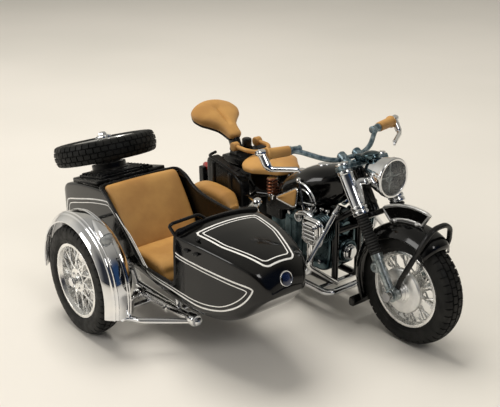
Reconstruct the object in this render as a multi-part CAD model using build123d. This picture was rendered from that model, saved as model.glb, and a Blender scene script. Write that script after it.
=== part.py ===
from build123d import *
import math
import os

# Sidecar motorcycle, a chromed and painted metal scale model. Millimetres, +Z up, +X forward, +Y left.
# While it is drawn, x = 0 and z = 0 are the ground point under the front axle and y = 0 is the bike's
# middle plane. At the end every piece is moved so that the origin is the middle of the whole model's
# footprint, on the ground.

# ---- driving dimensions ----
wheel_radius = 33.0
tyre_width = 13.8
tread_half_width = 5.4
bead_half_width = 5.0
flange_radius = 22.4
flange_thickness = 0.9
rim_well_radius = 20.8
rim_wall = 1.3
hub_radius = 3.6
hub_flange_radius = 7.2
hub_half_width = 5.6
spoke_radius = 0.45
spoke_pairs = 10
spoke_lead = 26.0
drum_radius = 13.4
drum_thickness = 2.2
axle_radius = 1.5
wheelbase = 148.0
track = 135.6
sidecar_axle_x = -129.0

# gaps
running_gap = 0.3
axle_gap = 0.1
wheel_side_gap = 0.6

# fork
rake = 32.5
leg_spacing = 30.0
leg_setback = 1.0
yoke_offset = 5.5
lower_leg_radius = 2.7
lower_leg_length = 23.5
gaiter_radius = 3.5
gaiter_length = 23.0
gaiter_ribs = 10
shroud_radius = 4.1
shroud_length = 26.5
collar_height = 2.2
collar_growth = 0.6
stem_radius = 2.2
yoke_thickness = 3.0

# handlebar
bar_radius = 1.5
grip_radius = 3.2
grip_length = 13.0
lever_radius = 1.0
lever_tip_radius = 1.4
handle_radius = 1.3

# headlamp
lamp_radius = 11.0
lamp_depth = 19.0
lamp_front_x = -17.5
lamp_z = 93.0
lens_thickness = 2.4
lens_bulge = 2.4

# front fender
front_crown_radius = 40.0
front_lip_radius = 35.5
fender_wall = 1.1
front_fender_half_width = 11.0
front_fender_start = 61.0
front_fender_end = 210.0

# rear fender
rear_crown_radius = 38.5
rear_lip_radius = 33.6
rear_fender_half_width = 10.5
rear_fender_start = 36.0
rear_fender_end = 186.0

# sidecar fender
side_crown_radius = 40.5
side_lip_radius = 35.6
side_fender_half_width = 9.6
side_fender_y = -133.6
side_fender_start = -8.0
side_fender_end = 184.0
side_fender_drop = 6.0
fender_rib_height = 1.0
fender_rib_width = 1.6
fender_rib_spacing = 4.8

# frame
frame_tube_radius = 2.0
frame_half_width = 9.5
head_tube_radius = 3.6
crash_bar_radius = 1.35
chassis_tube_radius = 2.2

# engine
crankcase_half_width = 11.5
cylinder_x = -59.4
cylinder_z = 54.0
fin_radius = 8.6
barrel_radius = 6.6
fin_count = 5
fin_pitch = 1.8
fin_thickness = 0.8
head_length = 5.6
head_radius = 8.0

# sidecar body and other arched bodies
floor_bevel = 0.16
hull_middle_y = -82.0
hull_wall = 1.6
sill_z = 41.5
cowl_rear_x = -70.0
cowl_edge_x = -72.5
mouth_rear_x = -151.0
trunk_front_x = -157.0
trunk_rear_x = -199.0
trunk_opening_half_width = 20.0
lid_half_width = 23.5
lid_hinge_z = 76.6
lid_thickness = 1.8
spare_x = -190.0
spare_z = 86.0
spare_tilt = 16.0

os.makedirs("parts", exist_ok=True)
nodes = {}


# ---- shared shapes ----
def rod(start, end, radius, end_radius=None):
    """A round bar between two points, or a cone with another end radius."""
    run = Vector(*end) - Vector(*start)
    place = Plane(origin=start, z_dir=run)
    low = (Align.CENTER, Align.CENTER, Align.MIN)
    if end_radius is None:
        return place * Cylinder(radius, run.length, align=low)
    return place * Cone(radius, end_radius, run.length, align=low)


def bent_tube(points, radius, bend):
    """A round bar along straight runs joined by arcs of one bend radius, or a list of them."""
    path = FilletPolyline(*points, radius=bend)
    return sweep((path ^ 0) * Circle(radius), path=path)


def ball(centre, radius):
    return Pos(*centre) * Sphere(radius)


def block(low, high):
    """A box between two corners."""
    size = [b - a for a, b in zip(low, high)]
    return Pos(*low) * Box(*size, align=(Align.MIN, Align.MIN, Align.MIN))


def side_plate(points, near_y, far_y):
    """A plate whose outline is a list of (x, z), between two values of y."""
    face = Plane.XZ * make_face(Polyline(*points, close=True))
    return Pos(0, far_y, 0) * extrude(face, amount=far_y - near_y)


def mirrored(piece):
    """The same piece on the other side of the bike's middle plane."""
    return mirror(piece, about=Plane.XZ)


def both_sides(piece):
    return Compound([piece, mirrored(piece)])


def turned(profile, arc=360.0):
    """A face drawn as (radius, y) carried about the Y axis."""
    return revolve(profile, axis=Axis.Y, revolution_arc=arc)


def fender_shell(crown_radius, lip_radius, half_width, wall, start, end, drop=0.0):
    """An arched strip about the Y axis with a straight drop in front. Angles rise from forward over the top."""
    inner_half = half_width - wall
    outer = ThreePointArc((lip_radius, -half_width), (crown_radius, 0), (lip_radius, half_width))
    inner = ThreePointArc((lip_radius, inner_half), (crown_radius - wall, 0), (lip_radius, -inner_half))
    near_lip = Line(outer @ 1, inner @ 0)
    far_lip = Line(inner @ 1, outer @ 0)
    face = make_face([outer, near_lip, inner, far_lip])
    strip = Rot(0, -end, 0) * turned(face, end - start)
    if drop:
        strip += Rot(0, -start, 0) * extrude(face, amount=-drop)
    return strip


def arched_section(x, middle_y, half_width, low, shoulder, crest):
    """A cross-section with a bevelled floor, upright sides and an arched top."""
    left = (half_width, shoulder)
    right = (-half_width, shoulder)
    bevel = floor_bevel * (shoulder - low)
    floor_half = half_width - bevel
    top = ThreePointArc(left, (0, crest), right)
    rest = Polyline(
        right, (-half_width, low + bevel), (-floor_half, low), (floor_half, low), (half_width, low + bevel),
        left
    )
    station = Plane(origin=(x, middle_y, 0), x_dir=(0, 1, 0), z_dir=(1, 0, 0))
    return station * make_face([top] + list(rest.edges()))


def arched_body(table, middle_y):
    """A body through arched sections. Columns: x, half width, low z, shoulder z, crest z."""
    return loft([arched_section(x, middle_y, *row) for x, *row in table], ruled=True)


def keep(name, piece):
    """Stores a node as one solid, or as a group of solids that don't touch."""
    solids = piece.solids()
    nodes[name] = solids[0] if len(solids) == 1 else Compound(solids)


# ---- wheels, drawn about the origin with their axle along Y ----
def tyre():
    bead = (rim_well_radius + running_gap / 2, bead_half_width)
    lip = (flange_radius + running_gap / 2, bead_half_width)
    cheek = (flange_radius + running_gap / 2, bead_half_width + flange_thickness + 0.2)
    bulge = ((flange_radius + wheel_radius) / 2, tyre_width / 2)
    shoulder = (wheel_radius - 1.2, tread_half_width)
    half = Polyline(bead, lip, cheek) + ThreePointArc(cheek, bulge, shoulder)
    half += ThreePointArc(shoulder, (wheel_radius, 0), (shoulder[0], -shoulder[1]))
    other = mirror(Polyline(bead, lip, cheek) + ThreePointArc(cheek, bulge, shoulder), about=Plane.XZ)
    close = Line(bead, (bead[0], -bead[1]))
    return turned(make_face(half.edges() + other.edges() + [close]))


def rim():
    """Rim channel, hub and two crossing rows of spokes."""
    edge_y = bead_half_width + flange_thickness
    inner = rim_well_radius - rim_wall
    channel = Polyline(
        (inner, -edge_y), (inner, edge_y), (flange_radius, edge_y),
        (flange_radius, bead_half_width + 0.1), (rim_well_radius, bead_half_width + 0.1),
        (rim_well_radius, -bead_half_width - 0.1), (flange_radius, -bead_half_width - 0.1),
        (flange_radius, -edge_y), close=True,
    )
    wheel = turned(make_face(channel))
    flange_y = hub_half_width - 1.5
    spokes = []
    for side in (-1, 1):
        for pair in range(spoke_pairs):
            middle = 360.0 / spoke_pairs * (pair + side / 4)
            for lead in (-spoke_lead, spoke_lead):
                foot = math.radians(middle + lead)
                tip = math.radians(middle - lead / 3)
                start = (5.8 * math.cos(foot), side * flange_y, 5.8 * math.sin(foot))
                reach = inner + rim_wall / 2
                end = (reach * math.cos(tip), side * 1.6, reach * math.sin(tip))
                spokes.append(rod(start, end, spoke_radius))
    hub = turned(Pos(hub_radius / 2, 0) * Rectangle(hub_radius, 2 * hub_half_width))
    for side in (-1, 1):
        hub += turned(Pos(hub_flange_radius / 2, side * flange_y) * Rectangle(hub_flange_radius, 1.2))
    wheel = wheel.fuse(*spokes, hub)
    bore = turned(Pos((axle_radius + axle_gap) / 2, 0) * Rectangle(axle_radius + axle_gap,
        3 * hub_half_width))
    return wheel - bore


def add_wheels():
    whole_tyre = tyre()
    whole_rim = rim()
    # name, x, y
    places = [("front", 0.0, 0.0), ("rear", -wheelbase, 0.0), ("sidecar", sidecar_axle_x, -track)]
    for name, x, y in places:
        keep(name + "_tyre", Pos(x, y, wheel_radius) * whole_tyre)
        keep(name + "_rim", Pos(x, y, wheel_radius) * whole_rim)
    flat = Pos(spare_x, hull_middle_y, spare_z) * Rot(0, -spare_tilt, 0) * Rot(90, 0, 0)
    keep("spare_tyre", flat * whole_tyre)
    keep("spare_rim", flat * whole_rim)


# ---- fork and what turns with it ----
up_fork = Vector(-math.sin(math.radians(rake)), 0, math.cos(math.radians(rake)))
out_fork = Vector(math.cos(math.radians(rake)), 0, math.sin(math.radians(rake)))
axle_centre = Vector(0, 0, wheel_radius)


def fork_point(along, ahead, y):
    """A point by its distance up the fork from the axle, ahead of the legs' plane, and its y."""
    base = axle_centre - Vector(leg_setback, 0, 0)
    spot = base + up_fork * along + out_fork * ahead + Vector(0, y, 0)
    return (spot.X, spot.Y, spot.Z)


gaiter_start = lower_leg_length
shroud_start = gaiter_start + gaiter_length
shroud_end = shroud_start + shroud_length
lower_yoke_at = shroud_start - yoke_thickness / 2
upper_yoke_at = shroud_end + yoke_thickness / 2
half_spacing = leg_spacing / 2


def add_fork():
    legs = []
    gaiters = []
    shrouds = []
    for y in (-half_spacing, half_spacing):
        inward = -math.copysign(1, y)
        leg = rod(fork_point(-3.4, 0, y), fork_point(gaiter_start, 0, y), lower_leg_radius * 0.85,
            lower_leg_radius)
        leg += rod(fork_point(gaiter_start - 3.5, 0, y), fork_point(gaiter_start, 0, y),
            lower_leg_radius + 0.7)
        leg += Pos(0, y, wheel_radius) * Rot(90, 0, 0) * Cylinder(4.0, 4.0)
        lug = fork_point(gaiter_start - 8.0, -3.6, y)
        leg += Pos(*lug) * Rot(90, 0, 0) * Cylinder(2.2, 2.4)
        leg -= Pos(*lug) * Rot(90, 0, 0) * Cylinder(0.9, 5.0)
        leg -= Pos(0, y, wheel_radius) * Rot(90, 0, 0) * Cylinder(axle_radius, 20.0)
        legs.append(leg)
        gaiter = rod(fork_point(gaiter_start, 0, y), fork_point(shroud_start, 0, y), gaiter_radius - 0.7)
        pitch = gaiter_length / gaiter_ribs
        for rib in range(gaiter_ribs):
            low = gaiter_start + pitch * rib
            gaiter += rod(fork_point(low + 0.1 * pitch, 0, y), fork_point(low + 0.6 * pitch, 0, y),
                gaiter_radius)
        gaiters.append(gaiter)
        shroud = rod(fork_point(shroud_start, 0, y), fork_point(shroud_end, 0, y), shroud_radius)
        collar = shroud_radius + collar_growth
        for low in (shroud_start, shroud_start + 3.0, shroud_end - collar_height):
            shroud += rod(fork_point(low, 0, y), fork_point(low + collar_height, 0, y), collar)
        shrouds.append(shroud)
    keep("fork_lower_legs", Compound(legs))
    keep("fork_gaiters", Compound(gaiters))
    keep("fork_shrouds", Compound(shrouds))

    axle = Pos(0, 0, wheel_radius) * Rot(90, 0, 0) * Cylinder(axle_radius, leg_spacing + 8.0)
    for side in (-1, 1):
        nut_y = side * (half_spacing + 4.2)
        axle += Pos(0, nut_y, wheel_radius) * Rot(90, 0, 0) * Cylinder(2.8, 3.0)
    plate_y = -(hub_half_width + wheel_side_gap + drum_thickness / 2)
    plate = Pos(0, plate_y, wheel_radius) * Rot(90, 0, 0) * Cylinder(drum_radius, drum_thickness)
    spacer_length = half_spacing - 2.6 - hub_half_width - wheel_side_gap
    spacer_y = -(hub_half_width + wheel_side_gap + spacer_length / 2)
    plate += Pos(0, spacer_y, wheel_radius) * Rot(90, 0, 0) * Cylinder(5.2, spacer_length)
    keep("front_axle", axle)
    keep("front_brake_plate", plate - axle)

    yokes = []
    for along in (lower_yoke_at, upper_yoke_at):
        middle = fork_point(along, -yoke_offset / 2, 0)
        place = Plane(origin=middle, x_dir=out_fork, z_dir=up_fork)
        plate = place * Box(yoke_offset + 2 * stem_radius + 2.0, leg_spacing, yoke_thickness)
        for y in (-half_spacing, half_spacing):
            low = fork_point(along - yoke_thickness / 2, 0, y)
            high = fork_point(along + yoke_thickness / 2, 0, y)
            plate += rod(low, high, shroud_radius + collar_growth)
        yokes.append(plate)
    lower, upper = yokes
    for y in (-half_spacing, half_spacing):
        lower -= rod(fork_point(gaiter_start, 0, y), fork_point(shroud_start, 0, y), gaiter_radius)
    for y in (-6.0, 6.0):
        upper += rod(fork_point(upper_yoke_at, -yoke_offset + 1.5, y), (-51.5, y, 98.6), 2.4)
    stem = rod(fork_point(lower_yoke_at, -yoke_offset, 0), fork_point(upper_yoke_at, -yoke_offset, 0),
        stem_radius)
    keep("fork_yokes", lower + upper + stem - handlebar_tube())


def handlebar_path():
    """The bar's route, from the right grip's end to the left one."""
    # x, half of the spacing, z
    half = [(-65.8, 49.0, 105.5), (-62.6, 33.0, 105.2), (-53.4, 19.0, 99.2), (-51.5, 10.0, 96.6)]
    points = [(x, -y, z) for x, y, z in half]
    return points + [(x, y, z) for x, y, z in reversed(half)]


def handlebar_tube():
    return bent_tube(handlebar_path(), bar_radius, 3.5)


def add_handlebar():
    tip, neck = [Vector(*point) for point in handlebar_path()[:2]]
    inward = (neck - tip).normalized()
    grip = rod(tuple(tip - inward), tuple(tip + inward * grip_length), grip_radius, grip_radius * 0.9)
    grip += rod(tuple(tip - inward * 1.6), tuple(tip), grip_radius + 0.6)
    bore = rod(tuple(tip), tuple(tip + inward * 30.0), bar_radius)
    keep("handlebar", handlebar_tube())
    keep("handlebar_grips", both_sides(grip - bore))
    pivot = (-66.6, -53.4, 106.6)
    knee = (-61.0, -53.0, 98.6)
    end = (-52.6, -39.4, 97.6)
    lever = rod(tuple(tip - inward * 1.6), pivot, 1.5)
    lever += ball(pivot, 2.2)
    lever += rod(pivot, knee, 1.5) + ball(knee, 1.5)
    lever += rod(knee, end, 1.3, lever_radius) + ball(end, lever_tip_radius)
    keep("control_levers", both_sides(lever - grip))


def add_headlamp():
    back_x = lamp_front_x - lamp_depth
    shell = Pos(lamp_front_x, 0, lamp_z) * Rot(0, -90, 0) * Cylinder(
        lamp_radius, lamp_depth * 0.25, align=(Align.CENTER, Align.CENTER, Align.MIN)
    )
    cone_start = (lamp_front_x - lamp_depth * 0.25, 0, lamp_z)
    shell += rod(cone_start, (back_x, 0, lamp_z), lamp_radius, lamp_radius * 0.45)
    cup = Pos(lamp_front_x, 0, lamp_z) * Rot(0, -90, 0) * Cylinder(
        lamp_radius - 1.2, lens_thickness, align=(Align.CENTER, Align.CENTER, Align.MIN)
    )
    glass_radius = lamp_radius - 1.2
    back = (lamp_front_x - lens_thickness, 0, lamp_z)
    middle = (lamp_front_x, 0, lamp_z)
    glass = rod(back, middle, glass_radius)
    glass += rod(middle, (lamp_front_x + lens_bulge / 2, 0, lamp_z), glass_radius, glass_radius * 0.72)
    glass += rod(
        (lamp_front_x + lens_bulge / 2, 0, lamp_z), (lamp_front_x + lens_bulge, 0, lamp_z),
        glass_radius * 0.72, glass_radius * 0.3,
    )
    keep("headlamp_lens", glass)
    brackets = []
    for side in (-1, 1):
        inner_y = side * (half_spacing - shroud_radius - collar_growth)
        low = min(side * (lamp_radius * 0.55), inner_y)
        high = max(side * (lamp_radius * 0.55), inner_y)
        brackets.append(block((lamp_front_x - 16.0, low, lamp_z - 6.0),
            (lamp_front_x - 9.0, high, lamp_z - 2.0)))
    ears = []
    for y in (-half_spacing, half_spacing):
        start = fork_point(shroud_start + 6.0, shroud_radius - 0.6, y)
        ears.append(rod(start, (lamp_front_x - 12.0, y * 0.45, lamp_z - 4.0), 1.6))
    shrouds = nodes["fork_shrouds"]
    whole = (shell - cup).fuse(*brackets, *ears)
    keep("headlamp_shell", whole - shrouds - nodes["fork_yokes"])


def add_instrument_pod():
    base = fork_point(upper_yoke_at + yoke_thickness / 2, 6.0, 0)
    pod = Pos(base[0] + 2.0, 0, base[2] + 1.6) * Rot(0, -12, 0) * Cylinder(5.4, 3.4)
    arm = block((base[0] - 9.0, -3.0, base[2] - 3.4), (base[0] + 2.0, 3.0, base[2] + 0.6))
    keep("instrument_pod", pod + arm - nodes["fork_yokes"] - nodes["handlebar"] - nodes["headlamp_shell"])


def add_front_fender():
    shell = Pos(*axle_centre) * fender_shell(
        front_crown_radius, front_lip_radius, front_fender_half_width, fender_wall,
        front_fender_start, front_fender_end,
    )
    bar_angle = math.radians(front_fender_end - 3.0)
    bar_radius_out = front_crown_radius - 0.6
    bar_x = bar_radius_out * math.cos(bar_angle)
    bar_z = wheel_radius + bar_radius_out * math.sin(bar_angle)
    bar = rod((bar_x, -12.8, bar_z), (bar_x, 12.8, bar_z), 1.8)
    stays = []
    for side in (-1, 1):
        inner = half_spacing - lower_leg_radius - 0.4
        top_angle = math.radians(118.0)
        x = (front_lip_radius + 1.0) * math.cos(top_angle)
        z = wheel_radius + (front_lip_radius + 1.0) * math.sin(top_angle)
        stays.append(rod((x, side * (front_fender_half_width - 1.2), z), (x, side * (inner + 1.2), z), 1.2))
    fender = shell.fuse(bar, *stays)
    keep("front_fender", fender - nodes["fork_lower_legs"] - nodes["fork_gaiters"])


def add_front_plate():
    outline = [(-21.6, 75.6), (8.7, 78.8), (4.4, 70.0), (-16.7, 67.0)]
    plate = side_plate(outline, -0.8, 0.8)
    studs = []
    for x in (-14.0, 2.5):
        top = math.sqrt(front_crown_radius**2 - x**2) + wheel_radius
        studs.append(rod((x, -2.4, top + 1.5), (x, 2.4, top + 1.5), 1.2))
    barrel = Pos(*axle_centre) * Rot(90, 0, 0) * Cylinder(front_crown_radius, 10.0)
    keep("front_number_plate", plate.fuse(*studs) - barrel)


def add_front_hoop():
    foot = (2.6, -(half_spacing + 2.6), wheel_radius + 5.0)
    points = [foot, (12.6, -13.0, 66.0), (16.6, -6.4, 76.4)]
    points += [(x, -y, z) for x, y, z in reversed(points)]
    hoop = bent_tube(points, 1.35, 3.0)
    for side in (-1, 1):
        hoop += rod((foot[0], side * -foot[1], foot[2]), (0, side * -foot[1], wheel_radius), 1.5)
    keep("front_hoop", hoop - nodes["front_axle"] - nodes["fork_lower_legs"])


# ---- bike frame, engine and tank ----
steer_low = fork_point(shroud_start + running_gap, -yoke_offset, 0)
steer_high = fork_point(shroud_end - running_gap, -yoke_offset, 0)


def add_frame():
    head = rod(steer_low, steer_high, head_tube_radius)
    half = frame_half_width
    low_z = 19.0
    tubes = []
    for side in (-1, 1):
        y = side * half
        rail = [
            (steer_low[0] - 2.0, side * 2.0, steer_low[2] + 5.0), (-51.5, y, 60.0), (-51.5, y, low_z),
            (-118.0, y, low_z), (-wheelbase + 4.0, side * 12.6, wheel_radius),
        ]
        tubes.append(bent_tube(rail, frame_tube_radius, 4.0))
        spine = [
            (steer_high[0] - 1.0, side * 1.6, steer_high[2] - 7.0), (-100.0, side * 6.0, 60.0),
            (-122.0, side * 12.6, 58.0), (-wheelbase + 3.0, side * 12.6, wheel_radius + 1.0),
        ]
        tubes.append(bent_tube(spine, frame_tube_radius, 4.0))
        tubes.append(rod((-wheelbase, side * 11.0, wheel_radius), (-wheelbase, side * 14.6, wheel_radius),
            4.0))
    crosses = [(-51.5, 52.0), (-108.0, low_z), (-84.0, low_z)]
    for x, z in crosses:
        tubes.append(rod((x, -half, z), (x, half, z), frame_tube_radius * 0.8))
    whole = head.fuse(*tubes)
    whole -= rod(fork_point(0, -yoke_offset, 0), fork_point(200, -yoke_offset, 0), stem_radius + running_gap)
    axle = Pos(-wheelbase, 0, wheel_radius) * Rot(90, 0, 0) * Cylinder(axle_radius, 40.0)
    keep("rear_axle", Pos(-wheelbase, 0, wheel_radius) * Rot(90, 0, 0) * Cylinder(axle_radius, 34.0))
    keep("bike_frame", whole - axle)


def add_engine():
    # columns: low corner, high corner
    case = block((-96.0, -crankcase_half_width, 23.0), (-54.2, crankcase_half_width, 60.0))
    nose = rod((-54.2, 0, 38.0), (-49.0, 0, 38.0), 8.5, 7.0)
    nose += rod((-49.0, 0, 37.0), (-46.4, 0, 37.0), 4.0)
    gearbox = block((-112.0, -9.0, 24.0), (-96.0, 9.0, 52.0))
    keep("engine_block", case + nose + gearbox - nodes["bike_frame"])
    cylinders = []
    covers = []
    start = crankcase_half_width
    fins_end = start + fin_count * fin_pitch
    low = (Align.CENTER, Align.CENTER, Align.MIN)
    for side in (-1, 1):
        place = Plane(origin=(cylinder_x, side * start, cylinder_z), z_dir=(0, side, 0))
        barrel = place * Cylinder(barrel_radius, fins_end - start, align=low)
        for fin in range(fin_count):
            gap = fin_pitch - fin_thickness
            disc = Pos(0, 0, fin * fin_pitch + gap) * Cylinder(fin_radius, fin_thickness, align=low)
            barrel += place * disc
        cylinders.append(barrel)
        outer = Plane(origin=(cylinder_x, side * fins_end, cylinder_z), z_dir=(0, side, 0))
        cover = outer * Cylinder(head_radius, head_length * 0.6, align=low)
        cover += outer * Pos(0, 0, head_length * 0.6) * Cone(head_radius, head_radius * 0.6,
            head_length * 0.4, align=low)
        covers.append(cover)
    keep("engine_cylinders", Compound(cylinders) - nodes["bike_frame"])
    keep("cylinder_heads", Compound(covers))
    pipes = []
    for side in (-1, 1):
        route = [
            (cylinder_x, side * 22.4, cylinder_z - head_radius - 0.1), (cylinder_x, side * 22.4, 26.0),
            (-90.0, side * 17.0, 22.0), (-140.0, side * 19.0, 22.0),
        ]
        pipe = bent_tube(route, 2.0, 6.0)
        pipe += rod((-118.0, side * 18.1, 22.0), (-190.0, side * 20.0, 24.0), 4.0, 3.2)
        pipes.append(pipe)
    keep("exhaust_pipes", Compound(pipes))


def add_tank():
    # columns: x, half width, low z, shoulder z, crest z
    table = [
        (-52.5, 6.0, 72.0, 81.0, 87.0), (-62.0, 13.0, 64.0, 79.0, 88.5), (-76.0, 17.0, 61.0, 75.0, 86.0),
        (-90.0, 15.0, 61.0, 69.0, 79.0), (-104.0, 9.0, 62.5, 65.0, 69.0),
    ]
    body = arched_body(table, 0.0)
    keep("fuel_tank", body - nodes["bike_frame"] - nodes["fork_yokes"])
    pads = []
    for side in (-1, 1):
        y = side * 17.0
        outline = [(-95.0, 64.5), (-78.0, 63.0), (-76.5, 74.5)]
        pad = side_plate(outline, min(y, y + side * 1.6), max(y, y + side * 1.6))
        pads.append(pad)
    keep("knee_pads", Compound(pads) - nodes["fuel_tank"])
    gate = side_plate([(-74.5, 80.0), (-61.0, 73.0), (-62.0, 66.0), (-65.0, 60.0), (-68.0, 66.0)], -18.6,
        -17.3)
    gate += rod((-72.5, -18.0, 70.0), (-69.0, -18.0, 56.0), 0.9)
    gate += rod((-69.0, -18.0, 56.0), (-69.0, -12.0, 56.0), 0.9)
    gate += rod((-68.0, -18.0, 68.0), (-68.0, -14.0, 68.0), 1.0)
    keep("shift_gate", gate - nodes["fuel_tank"] - nodes["engine_block"] - nodes["engine_cylinders"])


def add_crash_bars():
    bars = []
    for side in (-1, 1):
        top = (-49.5, side * frame_half_width, 69.0)
        route = [top, (-49.0, side * 33.0, 41.0), (-49.0, side * 31.0, 33.0), (-49.0, side * 10.0, 20.0)]
        bars.append(bent_tube(route, crash_bar_radius, 3.0))
    keep("crash_bars", Compound(bars) - nodes["bike_frame"] - nodes["fuel_tank"])
    skid = bent_tube([(-118.0, -17.0, 15.0), (-48.5, -17.0, 15.0), (-48.5, 17.0, 15.0), (-118.0, 17.0, 15.0)],
        2.0, 5.0)
    for x in (-58.0, -84.0, -112.0):
        skid += rod((x, -17.0, 15.0), (x, 17.0, 15.0), 1.6)
    pegs = rod((-84.0, -26.0, 18.0), (-84.0, 26.0, 18.0), 1.8)
    skid += pegs
    keep("skid_rails", skid - nodes["bike_frame"] - nodes["exhaust_pipes"])


def add_seats():
    # columns: x, half width, low z, shoulder z, crest z
    rider = [
        (-136.0, 11.0, 73.6, 75.0, 77.0), (-131.0, 17.0, 73.2, 76.0, 79.0), (-119.0, 19.5, 72.0, 76.0, 79.6),
        (-108.0, 11.0, 72.4, 74.5, 78.2), (-99.0, 5.0, 73.2, 75.0, 77.0),
    ]
    keep("rider_saddle", arched_body(rider, 0.0))
    pillion = [
        (-18.0, 11.0, -3.0, 0.5, 2.2), (-10.0, 18.5, -3.4, 1.4, 4.0), (-1.0, 17.5, -3.4, 1.6, 4.4),
        (8.0, 9.5, -3.2, 1.2, 3.6), (17.5, 5.0, -3.0, 0.6, 2.2),
    ]
    tilt = 28.0
    place = Pos(-173.6, 0, 93.4) * Rot(0, tilt, 0)
    keep("pillion_saddle", place * arched_body(pillion, 0.0))
    pan = [
        (-17.0, 10.0, -4.8, -4.0, -3.4), (-9.0, 17.4, -4.8, -4.0, -3.4), (1.0, 15.0, -4.8, -4.0, -3.4),
        (8.0, 8.5, -4.8, -4.0, -3.4), (16.0, 4.6, -4.8, -4.0, -3.4),
    ]
    base = place * arched_body(pan, 0.0)
    post = rod((-156.0, 0, 73.0), (-161.0, 0, 83.4), 4.0)
    base += post + block((-163.0, -9.5, 69.0), (-143.0, 9.5, 74.2))
    keep("pillion_base", base - nodes["pillion_saddle"] - nodes["rider_saddle"])
    springs = []
    for side in (-1, 1):
        y = side * 14.0
        springs.append(rod((-117.0, y, 58.0), (-117.0, y, 72.4), 3.0))
    nose = rod((-104.0, 0, 58.0), (-104.0, 0, 73.4), 2.0)
    bridge = rod((-117.0, -14.0, 60.0), (-117.0, 14.0, 60.0), 1.8)
    spine = rod((-117.0, 0, 60.0), (-104.0, 0, 60.0), 1.8)
    whole = bridge.fuse(spine, *springs, nose)
    keep("saddle_springs", whole - nodes["bike_frame"] - nodes["rider_saddle"] - nodes["fuel_tank"])
    handle = [
        (-149.5, -9.4, 84.2), (-134.0, -9.4, 83.2), (-131.0, -6.0, 81.8),
        (-131.0, 6.0, 81.8), (-134.0, 9.4, 83.2), (-149.5, 9.4, 84.2),
    ]
    knobs = [Pos(-151.5, side * 9.4, 84.2) * Rot(90, 0, 0) * Cylinder(2.4, 4.4) for side in (-1, 1)]
    keep("grab_handle", bent_tube(handle, handle_radius, 1.6).fuse(*knobs))


def add_rear_end():
    shell = Pos(-wheelbase, 0, wheel_radius) * fender_shell(
        rear_crown_radius, rear_lip_radius, rear_fender_half_width, fender_wall,
        rear_fender_start, rear_fender_end,
    )
    stays = []
    for side in (-1, 1):
        for angle in (60.0, 150.0):
            reach = rear_lip_radius + 1.0
            x = -wheelbase + reach * math.cos(math.radians(angle))
            z = wheel_radius + reach * math.sin(math.radians(angle))
            y = side * (rear_fender_half_width + 0.3)
            stays.append(rod((-wheelbase, side * 12.4, wheel_radius + 3.0), (x, y, z), 0.9))
    fender = shell.fuse(*stays)
    keep("rear_fender", fender - nodes["bike_frame"] - nodes["pillion_base"])
    lamp = block((-196.0, -5.5, 40.0), (-190.0, 5.5, 56.0)) + rod((-196.0, 0, 58.0), (-188.0, 0, 58.0), 3.4)
    keep("tail_lamp", lamp - nodes["rear_fender"])
    boxes = []
    for side in (-1, 1):
        outline = [(-161.0, 48.0), (-124.5, 48.0), (-124.5, 66.0), (-131.0, 70.0), (-143.0, 72.0),
            (-158.0, 77.0), (-162.0, 74.0)]
        low = min(side * 14.8, side * 23.0)
        high = max(side * 14.8, side * 23.0)
        boxes.append(side_plate(outline, low, high))
    keep("panniers", Compound(boxes) - nodes["bike_frame"] - nodes["pillion_base"])
    bag = [
        (-163.0, 4.0, 50.0, 60.0, 63.0), (-156.0, 6.5, 44.0, 62.0, 67.0), (-138.0, 7.0, 43.0, 60.0, 66.0),
        (-124.0, 6.5, 43.0, 56.0, 61.0), (-116.0, 4.0, 46.0, 52.0, 55.0),
    ]
    keep("side_bag", arched_body(bag, -30.4))


# ---- sidecar ----
# columns: x, half width, low z, shoulder z, crest z
hull_table = [
    (-205.0, 23.0, 38.0, 57.0, 60.0), (-197.0, 26.0, 34.0, 64.0, 67.0), (-157.0, 28.0, 32.0, 72.5, 75.5),
    (-117.0, 28.4, 31.0, 71.8, 75.2), (-70.0, 28.6, 26.0, 71.8, 75.4), (-54.0, 26.8, 26.5, 71.2, 74.6),
    (-42.0, 24.6, 28.5, 70.0, 73.2), (-30.0, 21.7, 33.8, 68.0, 71.2), (-24.0, 19.7, 38.6, 66.4, 69.8),
    (-17.5, 17.8, 45.2, 63.8, 68.0), (-14.5, 16.8, 48.0, 61.0, 65.2), (-11.5, 15.6, 50.6, 53.5, 55.4),
]


def hull_inside():
    rows = []
    for x, half, low, shoulder, crest in hull_table[:-1]:
        rows.append((x, half - hull_wall, low + hull_wall, shoulder - hull_wall, crest - hull_wall))
    first = rows[0]
    last = rows[-1]
    rows[0] = (first[0] + hull_wall, *first[1:])
    rows[-1] = (last[0] - hull_wall, *last[1:])
    return arched_body(rows, hull_middle_y)


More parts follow.
